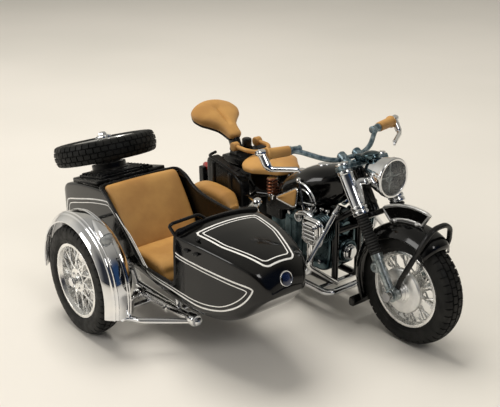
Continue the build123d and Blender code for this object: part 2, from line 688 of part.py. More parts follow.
def add_hull():
    outside = arched_body(hull_table, hull_middle_y)
    shell = outside - hull_inside()
    # The cockpit's mouth, as (x, z) along the side: the sloping tail edge, the sill and the cowl's edge.
    mouth = [
        (mouth_rear_x, 90.0), (mouth_rear_x, 76.0), (-140.0, 71.0), (-129.0, 62.0), (-119.0, 54.0),
        (-111.0, 46.0),
        (-104.0, sill_z), (cowl_edge_x, sill_z), (cowl_rear_x, 90.0),
    ]
    cut = side_plate(mouth, hull_middle_y - 40.0, hull_middle_y + 40.0)
    shell -= cut
    inner_half = hull_table[2][1] - hull_wall
    shell -= block(
        (mouth_rear_x, hull_middle_y - inner_half, sill_z), (cowl_edge_x, hull_middle_y + inner_half, 90.0)
    )
    hatch = block(
        (trunk_rear_x + 5.0, hull_middle_y - trunk_opening_half_width, 50.0),
        (trunk_front_x - 3.0, hull_middle_y + trunk_opening_half_width, 90.0),
    )
    shell -= hatch
    bulkhead_x = -153.0
    lower = shell & block((-210.0, -120.0, 0.0), (0.0, -40.0, sill_z))
    cowl = shell & block((-90.0, -120.0, sill_z), (0.0, -40.0, 100.0))
    tail = shell & block((-210.0, -120.0, sill_z), (-90.0, -40.0, 100.0))
    bulkhead = block(
        (bulkhead_x - 1.4, hull_middle_y - 26.2, sill_z), (bulkhead_x, hull_middle_y + 26.2, 72.0)
    )
    tail += bulkhead & hull_inside()
    keep("sidecar_tub", lower)
    keep("sidecar_cowl", cowl)
    keep("sidecar_tail", tail)


def add_sidecar_seat():
    floor = 34.0
    back = [(-150.6, floor), (-150.6, 77.0), (-147.5, 77.0), (-143.0, 73.0), (-124.0, 44.0), (-124.0, floor)]
    half = 24.0
    room = hull_inside()
    keep("seat_back", side_plate(back, hull_middle_y - half, hull_middle_y + half) & room)
    pad = [(-123.6, floor), (-123.6, 44.0), (-115.0, 46.5), (-96.0, 46.5), (-88.0, 43.0), (-88.0, floor)]
    keep("seat_cushion", side_plate(pad, hull_middle_y - half, hull_middle_y + half) & room)


hatch_slope = math.degrees(math.atan2(75.5 - 67.0, 40.0))


def add_trunk_lid():
    hinge = (trunk_front_x, hull_middle_y, lid_hinge_z)
    place = Pos(*hinge) * Rot(0, -hatch_slope, 0)
    length = (trunk_front_x - trunk_rear_x) / math.cos(math.radians(hatch_slope)) - 2.0
    lid = place * Pos(-length / 2 - 1.6, 0, 0.4) * Box(length, 2 * lid_half_width, lid_thickness)
    lid += place * Pos(-length / 2 - 1.6, 0, 1.8) * Box(length - 9.0, 2 * lid_half_width - 9.0, 1.2)
    for side in (-1, 1):
        lid += place * Pos(0, side * 14.0, 0.4) * Rot(90, 0, 0) * Cylinder(1.3, 6.0)
        lid += place * Pos(-1.2, side * 14.0, 0.4) * Box(2.4, 6.0, 1.4)
    keep("trunk_lid", lid)
    spin = Pos(spare_x, hull_middle_y, spare_z) * Rot(0, -spare_tilt, 0)
    low = (Align.CENTER, Align.CENTER, Align.MAX)
    under = Pos(0, 0, -hub_half_width) * Cylinder(8.0, 30.0, align=low)
    foot = Pos(0, 0, -hub_half_width - 3.4) * Cylinder(11.0, 30.0, align=low)
    above = place * Pos(-20.0, 0, 2.4) * Box(70.0, 70.0, 40.0, align=(Align.CENTER, Align.CENTER, Align.MIN))
    mount = (spin * (under + foot)) & above
    stud = spin * Pos(0, 0, 1.5) * Cylinder(axle_radius, 2 * hub_half_width + 4.0)
    stud += spin * Pos(0, 0, hub_half_width + 1.4) * Cylinder(3.6, 2.4)
    keep("spare_mount", mount + stud)


def add_sidecar_fender():
    place = Pos(sidecar_axle_x, side_fender_y, wheel_radius)
    shell = fender_shell(
        side_crown_radius, side_lip_radius, side_fender_half_width, fender_wall,
        side_fender_start, side_fender_end, side_fender_drop,
    )
    for step in (-1, 0, 1):
        y = step * fender_rib_spacing
        sag = (side_crown_radius - side_lip_radius) * (y / side_fender_half_width) ** 2
        radius = side_crown_radius - sag
        face = Pos(radius, y) * Rectangle(2 * fender_rib_height, fender_rib_width)
        shell += Rot(0, -side_fender_end, 0) * turned(face, side_fender_end - side_fender_start)
        shell += Rot(0, -side_fender_start, 0) * extrude(face, amount=-side_fender_drop)
    stays = []
    for angle in (35.0, 145.0):
        reach = side_lip_radius + 1.0
        x = reach * math.cos(math.radians(angle))
        z = reach * math.sin(math.radians(angle))
        stays.append(rod((x, side_fender_half_width - 0.6, z), (x, 25.0, z), 1.2))
    fender = place * shell.fuse(*stays)
    keep("sidecar_fender", fender - nodes["sidecar_tub"] - nodes["sidecar_tail"])
    lamp_angle = math.radians(48.0)
    x = sidecar_axle_x + (side_crown_radius + 0.6) * math.cos(lamp_angle)
    z = wheel_radius + (side_crown_radius + 0.6) * math.sin(lamp_angle)
    lamp = rod((x - 2.0, side_fender_y, z - 1.0), (x + 3.4, side_fender_y, z + 1.6), 3.4)
    keep("fender_lamp", lamp - nodes["sidecar_fender"])


def add_chassis():
    z = 19.0
    radius = chassis_tube_radius
    near_y = -101.0
    far_y = -62.0
    rails = []
    for y in (near_y, far_y):
        rails.append(rod((-190.0, y, z), (-66.0, y, z), radius) + ball((-66.0, y, z), radius + 0.6))
    crosses = []
    for x in (-180.0, -84.0):
        crosses.append(rod((x, near_y, z), (x, -19.0, z), radius * 0.9))
    axle_y = -(track - hub_half_width - wheel_side_gap)
    axle = rod((sidecar_axle_x, -track - hub_half_width - 2.4, wheel_radius),
        (sidecar_axle_x, near_y, wheel_radius), axle_radius)
    boss = rod((sidecar_axle_x, axle_y, wheel_radius), (sidecar_axle_x, near_y - 3.0, wheel_radius), 4.2)
    nut = rod((sidecar_axle_x, -track - hub_half_width - 3.0, wheel_radius),
        (sidecar_axle_x, -track - hub_half_width - wheel_side_gap, wheel_radius), 2.8)
    post = rod((sidecar_axle_x, near_y - 4.0, wheel_radius + 2.0), (sidecar_axle_x, near_y, z), 3.0)
    front_angle = math.radians(side_fender_start)
    lip_x = sidecar_axle_x + (side_lip_radius + 2.0) * math.cos(front_angle)
    outer = [(lip_x, side_fender_y, z + 2.0), (-93.0, -130.0, z + 1.0), (-85.0, -126.0, z + 1.0),
        (-66.0, near_y, z)]
    stay = bent_tube(outer, 1.6, 3.0)
    step = rod((-106.0, near_y, z - 1.0), (-106.0, -124.0, z - 1.0), 1.6)
    posts = []
    for x in (-180.0, -84.0):
        for y in (near_y, far_y):
            posts.append(rod((x, y, z), (x, y, z + 26.0), 2.0))
    whole = rails[0].fuse(rails[1], *crosses, axle, boss, post, stay, step, *posts)
    inside = arched_body(hull_table, hull_middle_y)
    whole = whole - inside - nodes["sidecar_fender"]
    keep("sidecar_chassis", whole - nodes["skid_rails"] - nodes["exhaust_pipes"] - nodes["bike_frame"])
    keep("sidecar_axle_nut", nut - axle)
    strut = bent_tube([(-133.0, -15.0, 56.0), (-92.0, -36.0, 66.0), (-80.0, -54.2, 50.0)], 1.6, 4.0)
    strut += ball((-92.0, -36.0, 66.0), 3.0)
    keep("upper_strut", strut - nodes["bike_frame"] - nodes["panniers"] - nodes["side_bag"])


def add_cowl_trim():
    edge = cowl_rear_x - 0.6
    near = hull_middle_y - 27.0
    route = [(edge, near, 70.0), (edge - 1.4, near - 3.6, 77.4), (edge - 1.4, near + 15.4, 78.8),
        (edge, near + 21.4, 73.6)]
    rail = bent_tube(route, 0.9, 2.0)
    studs = []
    for x, y, z in [(-62.0, near + 7.0, 72.0), (-64.0, near + 3.0, 70.5)]:
        studs.append(rod((x, y, z - 2.0), (x, y, z + 1.6), 0.9))
    keep("cowl_rail", rail.fuse(*studs) - nodes["sidecar_cowl"])
    badge = rod((-14.8, hull_middle_y, 58.4), (-11.9, hull_middle_y, 59.2), 4.8)
    keep("nose_badge", badge - nodes["sidecar_cowl"])


add_wheels()
add_fork()
add_handlebar()
add_headlamp()
add_instrument_pod()
add_front_fender()
add_front_plate()
add_front_hoop()
add_frame()
add_engine()
add_tank()
add_crash_bars()
add_seats()
add_rear_end()
add_hull()
add_sidecar_seat()
add_trunk_lid()
add_sidecar_fender()
add_chassis()
add_cowl_trim()

boxes = [piece.bounding_box() for piece in nodes.values()]
low = [min(tuple(box.min)[i] for box in boxes) for i in range(3)]
high = [max(tuple(box.max)[i] for box in boxes) for i in range(3)]
shift = (-(low[0] + high[0]) / 2, -(low[1] + high[1]) / 2, -low[2])
for name, piece in nodes.items():
    export_step(piece.moved(Pos(*shift)), f"parts/{name}.step")
print("nodes", len(nodes), "size", [round(b - a, 2) for a, b in zip(low, high)], "shift", shift)
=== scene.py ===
import math

import bmesh
import bpy
import numpy as np
from mathutils import Matrix, Vector


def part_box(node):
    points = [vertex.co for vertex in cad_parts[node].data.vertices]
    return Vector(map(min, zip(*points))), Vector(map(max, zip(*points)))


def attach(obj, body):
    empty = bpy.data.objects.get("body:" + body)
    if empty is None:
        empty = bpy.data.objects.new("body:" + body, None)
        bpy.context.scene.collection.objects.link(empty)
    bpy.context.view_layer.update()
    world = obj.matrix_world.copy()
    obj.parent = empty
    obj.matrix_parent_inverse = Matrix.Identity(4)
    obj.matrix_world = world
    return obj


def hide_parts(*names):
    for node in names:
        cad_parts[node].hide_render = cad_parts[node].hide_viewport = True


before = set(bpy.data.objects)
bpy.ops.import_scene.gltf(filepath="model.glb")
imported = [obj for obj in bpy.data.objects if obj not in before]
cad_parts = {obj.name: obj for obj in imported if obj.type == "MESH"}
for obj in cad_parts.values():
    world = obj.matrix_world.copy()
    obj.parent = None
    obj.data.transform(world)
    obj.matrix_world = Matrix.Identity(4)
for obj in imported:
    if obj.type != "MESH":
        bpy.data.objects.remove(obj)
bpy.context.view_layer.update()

print("frame loaded:", len(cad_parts), "nodes")

# Shapes are drawn in millimetres, with x = 0 and z = 0 on the ground under the front axle and y = 0 in the
# bike's middle plane. toFrame carries them to the frame's metres.
frontLow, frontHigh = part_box("front_tyre")
wheelRadius = (frontHigh.z - frontLow.z) * 500
frameOrigin = np.array([(frontLow.x + frontHigh.x) / 2, (frontLow.y + frontHigh.y) / 2, 0.0])
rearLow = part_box("rear_tyre")[0]
wheelbase = (frontLow.x - rearLow.x) * 1000
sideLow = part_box("sidecar_tyre")[0]
frontHub = np.array([0.0, 0.0, wheelRadius])
rearHub = np.array([-wheelbase, 0.0, wheelRadius])
sideAxle = np.array([(sideLow.x - frontLow.x) * 1000, (sideLow.y - frontLow.y) * 1000, wheelRadius])
# directions
alongX, alongY, alongZ = (1, 0, 0), (0, 1, 0), (0, 0, 1)
toRight = (0, -1, 0)  # the side of the bike that carries the sidecar


def toFrame(points):
    # millimetres to metres, then on to the front axle's place
    return points * 0.001 + frameOrigin


def bothWays(run):
    # the right half of a line, then its mirror image back again
    return run + [(x, -y, z) for x, y, z in reversed(run)]


# surfaces
def gridPart(points, closeRows=False, closeCols=False):
    # quads over an array of points (rows, columns, 3); a closed direction joins its last line to its first
    rows, cols = points.shape[:2]
    index = np.arange(rows * cols).reshape(rows, cols)
    if closeRows:
        index = np.vstack([index, index[:1]])
    if closeCols:
        index = np.hstack([index, index[:, :1]])
    quads = np.stack([index[:-1, :-1], index[:-1, 1:], index[1:, 1:], index[1:, :-1]], axis=-1)
    return points.reshape(-1, 3), quads.reshape(-1, 4)


def unit(vectors):
    # vectors divided by their lengths
    return vectors / np.linalg.norm(vectors, axis=-1, keepdims=True)


def easeTable(rows, at):
    # cubic through a table's rows without overshoot: each slope is the harmonic mean of its neighbours'
    rows = np.asarray(rows, float)
    x, y = rows[:, 0], rows[:, 1:]
    gap = np.diff(x)[:, None]
    rise = np.diff(y, axis=0) / gap
    product = rise[:-1] * rise[1:]
    total = np.where(np.abs(rise[:-1] + rise[1:]) < 1e-9, 1e-9, rise[:-1] + rise[1:])
    inner = np.where(product > 0, 2 * product / total, 0)
    slope = np.vstack([rise[:1], inner, rise[-1:]])
    at = np.clip(np.asarray(at, float), x[0], x[-1])
    low = np.clip(np.searchsorted(x, at, side="right") - 1, 0, len(x) - 2)
    t = ((at - x[low]) / gap[low, 0])[:, None]
    span = gap[low]
    start = (1 + 2 * t) * (1 - t) ** 2 * y[low] + t * (1 - t) ** 2 * span * slope[low]
    return start + t * t * (3 - 2 * t) * y[low + 1] + t * t * (t - 1) * span * slope[low + 1]


def curveThrough(points, count, closed=False):
    # Catmull-Rom curve: a cubic between points whose end slopes are half the difference of the neighbours
    p = np.asarray(points, float)
    if closed:
        p = np.vstack([p[-1:], p, p[:2]])
    else:
        p = np.vstack([2 * p[:1] - p[1:2], p, 2 * p[-1:] - p[-2:-1]])
    spans = len(p) - 3
    at = np.linspace(0, spans, count, endpoint=not closed)
    low = np.minimum(at.astype(int), spans - 1)
    t = (at - low)[:, None]
    a, b, c, d = p[low], p[low + 1], p[low + 2], p[low + 3]
    return 0.5 * (2 * b + (c - a) * t + (2 * a - 5 * b + 4 * c - d) * t**2 + (3 * b - a - 3 * c + d) * t**3)


def turnCurve(t, start, corner, end):
    # quadratic turn: it leaves the start towards the corner and reaches the end coming from it
    return (1 - t) ** 2 * start + 2 * t * (1 - t) * corner + t**2 * end


def powered(value, power):
    # a sine or cosine raised to a power with its sign kept: smaller powers make squarer shapes
    return np.sign(value) * np.abs(value) ** power


def bentPath(points, bend, perTurn=9):
    # straight runs joined at each corner by a quadratic turn that starts one bend length before the corner
    p = np.asarray(points, float)
    path = [p[:1]]
    t = np.linspace(0, 1, perTurn)[:, None]
    for before, corner, after in zip(p[:-2], p[1:-1], p[2:]):
        reach = min(bend, 0.48 * np.linalg.norm(before - corner), 0.48 * np.linalg.norm(after - corner))
        start = corner + unit(before - corner) * reach
        end = corner + unit(after - corner) * reach
        path.append(turnCurve(t, start, corner, end))
    path.append(p[-1:])
    return np.vstack(path)


def ring(sides=16, width=1.0, height=1.0, power=1.0):
    # closed outline: a superellipse whose power 1 is an ellipse and smaller is squarer
    angle = np.linspace(0, 2 * np.pi, sides, endpoint=False)
    across, along = powered(np.cos(angle), power), powered(np.sin(angle), power)
    return np.stack([width * across, height * along], axis=-1)


def carriedPart(path, outline, scale=1.0, closed=False, side=None):
    # an outline carried along a path, square to it; the side direction is where the path turns least
    path = np.asarray(path, float)
    if closed:
        step = np.roll(path, -1, axis=0) - np.roll(path, 1, axis=0)
    else:
        step = np.gradient(path, axis=0)
    tangent = unit(step)
    if side is None:
        side = np.linalg.eigh(tangent.T @ tangent)[1][:, 0]
    across = unit(np.cross(tangent, np.asarray(side, float)))
    up = np.cross(tangent, across)
    scale = np.broadcast_to(np.asarray(scale, float), (len(path),))[:, None, None]
    flat = outline[None, :, :] * scale
    rings = path[:, None] + flat[..., :1] * across[:, None] + flat[..., 1:] * up[:, None]
    if closed:
        return gridPart(rings, closeRows=True, closeCols=True)
    ends = [np.broadcast_to(path[i], rings[i].shape)[None] for i in (0, -1)]
    return gridPart(np.concatenate([ends[0], rings, ends[1]]), closeCols=True)


def tubePart(path, radius, sides=14, closed=False):
    # a round section carried along a path
    return carriedPart(path, ring(sides), radius, closed)


def rodPart(start, end, radius, sides=10):
    # a straight tube between two points
    return tubePart(np.array([start, end]), radius, sides)


def turnedPart(profile, centre, axis=alongY, sides=48, soft=0.0):
    # a profile of (distance along the axis, radius) turned a full circle, its corners softened where asked
    profile = softened(profile, soft) if soft else np.asarray(profile, float)
    axis = unit(np.asarray(axis, float))
    helper = np.array([0.0, 0.0, 1.0]) if abs(axis[2]) < 0.9 else np.array([1.0, 0.0, 0.0])
    first = unit(np.cross(helper, axis))
    second = np.cross(axis, first)
    angle = np.linspace(0, 2 * np.pi, sides, endpoint=False)
    spoke = np.cos(angle)[:, None] * first + np.sin(angle)[:, None] * second
    rings = profile[:, None, :1] * axis + profile[:, None, 1:] * spoke[None]
    return gridPart(rings + np.asarray(centre, float), closeCols=True)


def pegPart(low, high, radius, soft, centre, axis, sides):
    # a short round bar from low to high along its axis
    return turnedPart([(low, 0), (low, radius), (high, radius), (high, 0)], centre, axis, sides, soft)


def roundedOutline(corners, bend, perTurn=7):
    # closed outline whose corners are quadratic turns
    p = np.asarray(corners, float)
    t = np.linspace(0, 1, perTurn)[:, None]
    made = []
    for before, corner, after in zip(np.roll(p, 1, axis=0), p, np.roll(p, -1, axis=0)):
        start = corner + unit(before - corner) * min(bend, 0.45 * np.linalg.norm(before - corner))
        end = corner + unit(after - corner) * min(bend, 0.45 * np.linalg.norm(after - corner))
        made.append(turnCurve(t, start, corner, end))
    return np.vstack(made)


def softened(profile, cut=0.25, steps=3):
    # a profile with each inner corner replaced by a short quadratic turn
    p = np.asarray(profile, float)
    made = [p[:1]]
    t = np.linspace(0, 1, steps + 1)[:, None]
    for before, corner, after in zip(p[:-2], p[1:-1], p[2:]):
        lengths = [np.linalg.norm(before - corner), np.linalg.norm(after - corner)]
        reach = min(cut, 0.45 * min(lengths))
        if reach < 1e-6:
            made.append(corner[None])
            continue
        start = corner + (before - corner) / lengths[0] * reach
        end = corner + (after - corner) / lengths[1] * reach
        made.append(turnCurve(t, start, corner, end))
    made.append(p[-1:])
    return np.vstack(made)


def slabPart(outline, low, high, edge=0.4, crown=0.0, across=alongX, up=alongZ, centre=(0, 0, 0), steps=4):
    # a closed outline drawn in the directions across and up, given thickness along up x across from low to
    # high; a quarter turn of the edge radius rounds its rims, and the crown swells its middle
    outline = np.asarray(outline, float)
    area = np.sum(outline[:, 0] * np.roll(outline[:, 1], -1) - outline[:, 1] * np.roll(outline[:, 0], -1))
    if area < 0:
        outline = outline[::-1]
    along = unit(np.roll(outline, -1, axis=0) - outline)
    turn = along + np.roll(along, 1, axis=0)
    outward = np.stack([turn[:, 1], -turn[:, 0]], axis=-1)
    outward /= np.maximum(np.sum(turn * turn, axis=1, keepdims=True) / 2, 0.35)
    across, up = np.asarray(across, float), np.asarray(up, float)
    through = np.cross(up, across)
    quarter = np.linspace(0, np.pi / 2, steps + 1)
    inset = edge * (1 - np.sin(quarter))
    level = edge * (1 - np.cos(quarter))
    middle = outline.mean(axis=0)
    rows = []
    for share in (0.0, 0.4, 0.75):
        rows.append((low, share, edge))
    for step in range(steps + 1):
        rows.append((low + level[step], 1.0, inset[step]))
    waist = 7 if crown else 0
    for step in range(1, waist + 1):
        rows.append((low + edge + (high - low - 2 * edge) * step / (waist + 1), 1.0, 0.0))
    for step in reversed(range(steps + 1)):
        rows.append((high - level[step], 1.0, inset[step]))
    for share in (0.75, 0.4, 0.0):
        rows.append((high, share, edge))
    depth = np.array([row[0] for row in rows])
    share = np.array([row[1] for row in rows])[:, None, None]
    pull = np.array([row[2] for row in rows])[:, None, None]
    lift = crown * (1 - (2 * (depth - low) / (high - low) - 1) ** 2)[:, None, None]
    flat = outline[None] - outward[None] * (pull - lift)
    flat = middle + (flat - middle) * share
    points = flat[..., :1] * across + flat[..., 1:] * up + depth[:, None, None] * through
    return gridPart(points + np.asarray(centre, float), closeCols=True)


def ballPart(centre, size, power=1.0, sides=24):
    # a superellipsoid: rounder towards power 1, boxier below it
    around = np.linspace(0, 2 * np.pi, sides, endpoint=False)[None]
    rise = np.linspace(-np.pi / 2, np.pi / 2, sides // 2 + 1)[:, None]
    x = powered(np.cos(rise), power) * powered(np.cos(around), power)
    y = powered(np.cos(rise), power) * powered(np.sin(around), power)
    z = powered(np.sin(rise), power) * np.ones_like(around)
    points = np.stack([x, y, z], axis=-1) * np.asarray(size, float) + np.asarray(centre, float)
    return gridPart(points, closeCols=True)


def moved(part, matrix):
    # each point turned and shifted by a 4 x 4 matrix
    points, quads = part
    matrix = np.array(matrix, float)
    return points @ matrix[:3, :3].T + matrix[:3, 3], quads


def mirroredPart(part):
    # the part on the bike's other side, its faces turned back outwards
    points, quads = part
    return points * np.array([1.0, -1.0, 1.0]), quads[:, ::-1]


def bothSides(parts):
    # the parts and their mirror images
    return parts + [mirroredPart(part) for part in parts]


def bluntPart(rings, push, steps):
    # closes a row of rings: each end ring shrinks to a point along a quarter turn that stands out by the push
    ends = []
    for row, sign in ((0, -1), (-1, 1)):
        centre = rings[row].mean(axis=0)
        turn = np.linspace(0, np.pi / 2, steps + 1)[1:]
        shrink = np.cos(turn)[:, None, None]
        bulge = np.array([sign * push, 0, 0]) * np.sin(turn)[:, None, None]
        ends.append(centre + (rings[row][None] - centre) * shrink + bulge)
    return gridPart(np.concatenate([ends[0][::-1], rings, ends[1]]), closeCols=True)


def linked(name, data):
    # a new object in the scene, at the origin
    made = bpy.data.objects.new(name, data)
    bpy.context.scene.collection.objects.link(made)
    return made


def joinedMesh(name, parts):
    # joins the parts into one mesh, closes its seams and poles and turns its faces outwards
    starts = np.cumsum([0] + [len(points) for points, quads in parts[:-1]])
    points = toFrame(np.vstack([points for points, quads in parts]))
    quads = np.vstack([quads + start for (_, quads), start in zip(parts, starts)])
    mesh = bpy.data.meshes.new(name)
    mesh.from_pydata(points, [], quads.tolist())
    tidy = bmesh.new()
    tidy.from_mesh(mesh)
    bmesh.ops.remove_doubles(tidy, verts=tidy.verts, dist=2e-6)
    bmesh.ops.dissolve_degenerate(tidy, edges=tidy.edges, dist=1e-7)
    bmesh.ops.recalc_face_normals(tidy, faces=tidy.faces)
    tidy.to_mesh(mesh)
    tidy.free()
    return mesh


def makePiece(name, parts, finish, body="root", instead=(), sharp=35.0):
    # one object of one finish: it rides on its body and may stand for CAD nodes
    mesh = parts if isinstance(parts, bpy.types.Mesh) else joinedMesh(name, parts)
    mesh.materials.append(paints[finish])
    mesh.polygons.foreach_set("use_smooth", np.ones(len(mesh.polygons), bool))
    mesh.set_sharp_from_angle(angle=math.radians(sharp))
    piece = linked(name, mesh)
    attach(piece, body)
    if instead:
        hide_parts(*instead)


# finishes
class Wire:
    # an output socket that sums can be written on; each operator adds one Math node
    def __init__(self, shader, socket):
        self.shader = shader
        self.socket = socket

    def __add__(self, other):
        return self.shader.sum("ADD", self, other)

    def __radd__(self, other):
        return self.shader.sum("ADD", other, self)

    def __sub__(self, other):
        return self.shader.sum("SUBTRACT", self, other)

    def __rsub__(self, other):
        return self.shader.sum("SUBTRACT", other, self)

    def __mul__(self, other):
        return self.shader.sum("MULTIPLY", self, other)

    def __rmul__(self, other):
        return self.shader.sum("MULTIPLY", other, self)


class Shader:
    # the node tree of one material or of the world
    def __init__(self, tree):
        self.tree = tree
        tree.nodes.clear()

    def feed(self, socket, value):
        if isinstance(value, Wire):
            self.tree.links.new(value.socket, socket)
        else:
            socket.default_value = value

    def node(self, kind, settings=None, values=None, output=0):
        # settings are set first, then the values or links of the sockets
        made = self.tree.nodes.new("ShaderNode" + kind)
        for key, value in (settings or {}).items():
            setattr(made, key, value)
        for key, value in (values or {}).items():
            self.feed(made.inputs[key], value)
        return Wire(self, made.outputs[output]) if made.outputs else made

    def sum(self, operation, first, second):
        return self.node("Math", {"operation": operation}, {0: first, 1: second})

    def place(self):
        return self.node("TexCoord", output="Object")

    def noise(self, scale, detail=2.0, at=None):
        values = {"Vector": at or self.place(), "Scale": scale, "Detail": detail}
        return self.node("TexNoise", None, values)

    def ease(self, value, low, high, start=0.0, end=1.0):
        values = {"Value": value, "From Min": low, "From Max": high, "To Min": start, "To Max": end}
        return self.node("MapRange", {"interpolation_type": "SMOOTHSTEP"}, values)

    def blend(self, share, first, second):
        values = {0: share, 6: (*first, 1.0) if isinstance(first, tuple) else first}
        values[7] = (*second, 1.0) if isinstance(second, tuple) else second
        return self.node("Mix", {"data_type": "RGBA"}, values, 2)


def newMaterial(name):
    # an empty material and the shader that fills it
    material = bpy.data.materials.new(name)
    material.use_nodes = True
    return material, Shader(material.node_tree)


def finishOf(name, recipe):
    # colour drifts between two tones, roughness between two values, and fine grain lifts the surface
    material, shader = newMaterial(name)
    drift = shader.ease(shader.noise(recipe["patch"], 4.0), 0.35, 0.65)
    wear = shader.ease(shader.noise(recipe["patch"] * 2.3, 3.0), 0.3, 0.7)
    values = {
        "Base Color": shader.blend(drift, recipe["deep"], recipe["pale"]),
        "Roughness": wear * (recipe["rough"][1] - recipe["rough"][0]) + recipe["rough"][0],
        "Metallic": recipe.get("metal", 0.0),
        "Coat Weight": recipe.get("coat", 0.0),
        "Coat Roughness": recipe.get("coatRough", 0.03),
        "Specular IOR Level": recipe.get("specular", 0.5),
    }
    grain = shader.noise(recipe["grain"], 3.0)
    bump = {"Height": grain, "Strength": recipe["lift"], "Distance": recipe.get("depth", 0.0002)}
    values["Normal"] = shader.node("Bump", None, bump)
    surface = shader.node("BsdfPrincipled", None, values)
    shader.node("OutputMaterial", None, {"Surface": surface})
    return material


# deep and pale are the two tones, patch and grain the noise scales per metre, lift the grain's strength
finishes = {
    "glossBlack": dict(deep=(0.0016, 0.0016, 0.0017), pale=(0.0042, 0.004, 0.0036), patch=40,
                       rough=(0.08, 0.14), grain=900, lift=0.02, specular=0.4),
    "satinBlack": dict(deep=(0.004, 0.004, 0.0045), pale=(0.011, 0.0105, 0.01), patch=90, rough=(0.24, 0.38),
                       grain=2200, lift=0.08, specular=0.28),
    "blackRubber": dict(deep=(0.008, 0.008, 0.0085), pale=(0.017, 0.0165, 0.016), patch=120,
                        rough=(0.45, 0.62), grain=3200, lift=0.12, specular=0.35),
    "tyreRubber": dict(deep=(0.0045, 0.005, 0.0048), pale=(0.012, 0.0118, 0.011), patch=110,
                       rough=(0.48, 0.68), grain=4200, lift=0.16, specular=0.22),
    "chrome": dict(deep=(0.74, 0.755, 0.78), pale=(0.88, 0.875, 0.865), patch=60, rough=(0.035, 0.09),
                   grain=500, lift=0.012, metal=1.0),
    "wheelSilver": dict(deep=(0.78, 0.785, 0.78), pale=(0.93, 0.925, 0.905), patch=150, rough=(0.18, 0.30),
                        grain=1600, lift=0.05, metal=1.0),
    "smokeMirror": dict(deep=(0.16, 0.165, 0.16), pale=(0.30, 0.305, 0.295), patch=150, rough=(0.12, 0.24),
                        grain=1600, lift=0.05, metal=1.0),
    "satinSilver": dict(deep=(0.80, 0.80, 0.79), pale=(0.93, 0.925, 0.905), patch=150, rough=(0.34, 0.46),
                        grain=1600, lift=0.05, metal=1.0),
    "tealChrome": dict(deep=(0.018, 0.036, 0.044), pale=(0.10, 0.145, 0.16), patch=140, rough=(0.12, 0.26),
                       grain=1500, lift=0.05, metal=1.0),
    "tealGrey": dict(deep=(0.10, 0.155, 0.185), pale=(0.34, 0.42, 0.46), patch=420, rough=(0.28, 0.44),
                     grain=2600, lift=0.16, metal=0.9),
    "castGrey": dict(deep=(0.24, 0.285, 0.295), pale=(0.5, 0.54, 0.545), patch=380, rough=(0.26, 0.42),
                     grain=2600, lift=0.18, metal=0.92),
    "copper": dict(deep=(0.14, 0.045, 0.022), pale=(0.33, 0.12, 0.06), patch=240, rough=(0.25, 0.4),
                   grain=2000, lift=0.08, metal=0.8),
    "tan": dict(deep=(0.435, 0.222, 0.066), pale=(0.545, 0.295, 0.09), patch=55, rough=(0.42, 0.55),
                grain=2600, lift=0.1, specular=0.45),
    "whiteLine": dict(deep=(0.84, 0.83, 0.80), pale=(0.93, 0.925, 0.90), patch=200, rough=(0.25, 0.35),
                      grain=1500, lift=0.03),
    "lampRed": dict(deep=(0.28, 0.006, 0.004), pale=(0.42, 0.012, 0.008), patch=200, rough=(0.08, 0.14),
                    grain=1200, lift=0.04, coat=1.0),
    "blueEnamel": dict(deep=(0.005, 0.011, 0.045), pale=(0.012, 0.03, 0.11), patch=200, rough=(0.08, 0.14),
                    grain=1200, lift=0.04, coat=1.0),
}
paints = {name: finishOf(name, recipe) for name, recipe in finishes.items()}


def glassOf(name, tint, clearness, ripple):
    # clear plastic over flutes: the surface lets through the given share, a little less where it is smeared
    material, shader = newMaterial(name)
    flutes = shader.node("TexWave", {"bands_direction": "Y"}, {
        "Vector": shader.place(), "Scale": ripple, "Distortion": 0.4})
    bump = shader.node("Bump", None, {"Height": flutes, "Strength": 0.35, "Distance": 0.0003})
    smear = shader.ease(shader.noise(260, 3.0), 0.3, 0.7)
    surface = shader.node("BsdfPrincipled", None, {
        "Base Color": shader.blend(smear, tint, tuple(0.85 * tone for tone in tint)),
        "Roughness": smear * 0.08 + 0.05,
        "Alpha": smear * 0.08 + (1 - clearness),
        "Specular IOR Level": 0.7,
        "Normal": bump,
    })
    shader.node("OutputMaterial", None, {"Surface": surface})
    return material


paints["lampGlass"] = glassOf("lampGlass", (0.30, 0.31, 0.31), 0.80, 300)
paints["frostGlass"] = glassOf("frostGlass", (0.50, 0.52, 0.52), 0.35, 160)
print("finishes made:", len(paints))

# wheels, drawn about the origin with the axle along Y
tyreForm = dict(blocks=44, depth=0.95, crownDrop=1.25, crownHalf=5.6, grooveHalf=0.055, grooveSlope=0.03)
# half of the tyre's section from the middle outwards: y, radius or 0 on the crown, round groove, cross groove
tyreRows = [
    (0.26, 0, 1, 1), (0.44, 0, 0, 1), (1.7, 0, 0, 1), (2.95, 0, 0, 1), (3.12, 0, 1, 1), (3.62, 0, 1, 1),
    (3.8, 0, 0, 1), (4.7, 0, 0, 1), (5.5, 0, 0, 1), (6.05, 31.35, 0, 0.95), (6.4, 30.55, 0, 0.6),
    (6.62, 29.75, 0, 0.12), (6.78, 28.7, 0, 0), (6.88, 27.5, 0, 0), (6.86, 26.2, 0, 0), (6.7, 25.0, 0, 0),
    (6.82, 24.7, 0, 0), (6.72, 24.2, 0, 0), (6.35, 23.3, 0, 0), (5.95, 22.65, 0, 0), (5.1, 22.5, 0, 0),
    (5.1, 21.0, 0, 0),
]


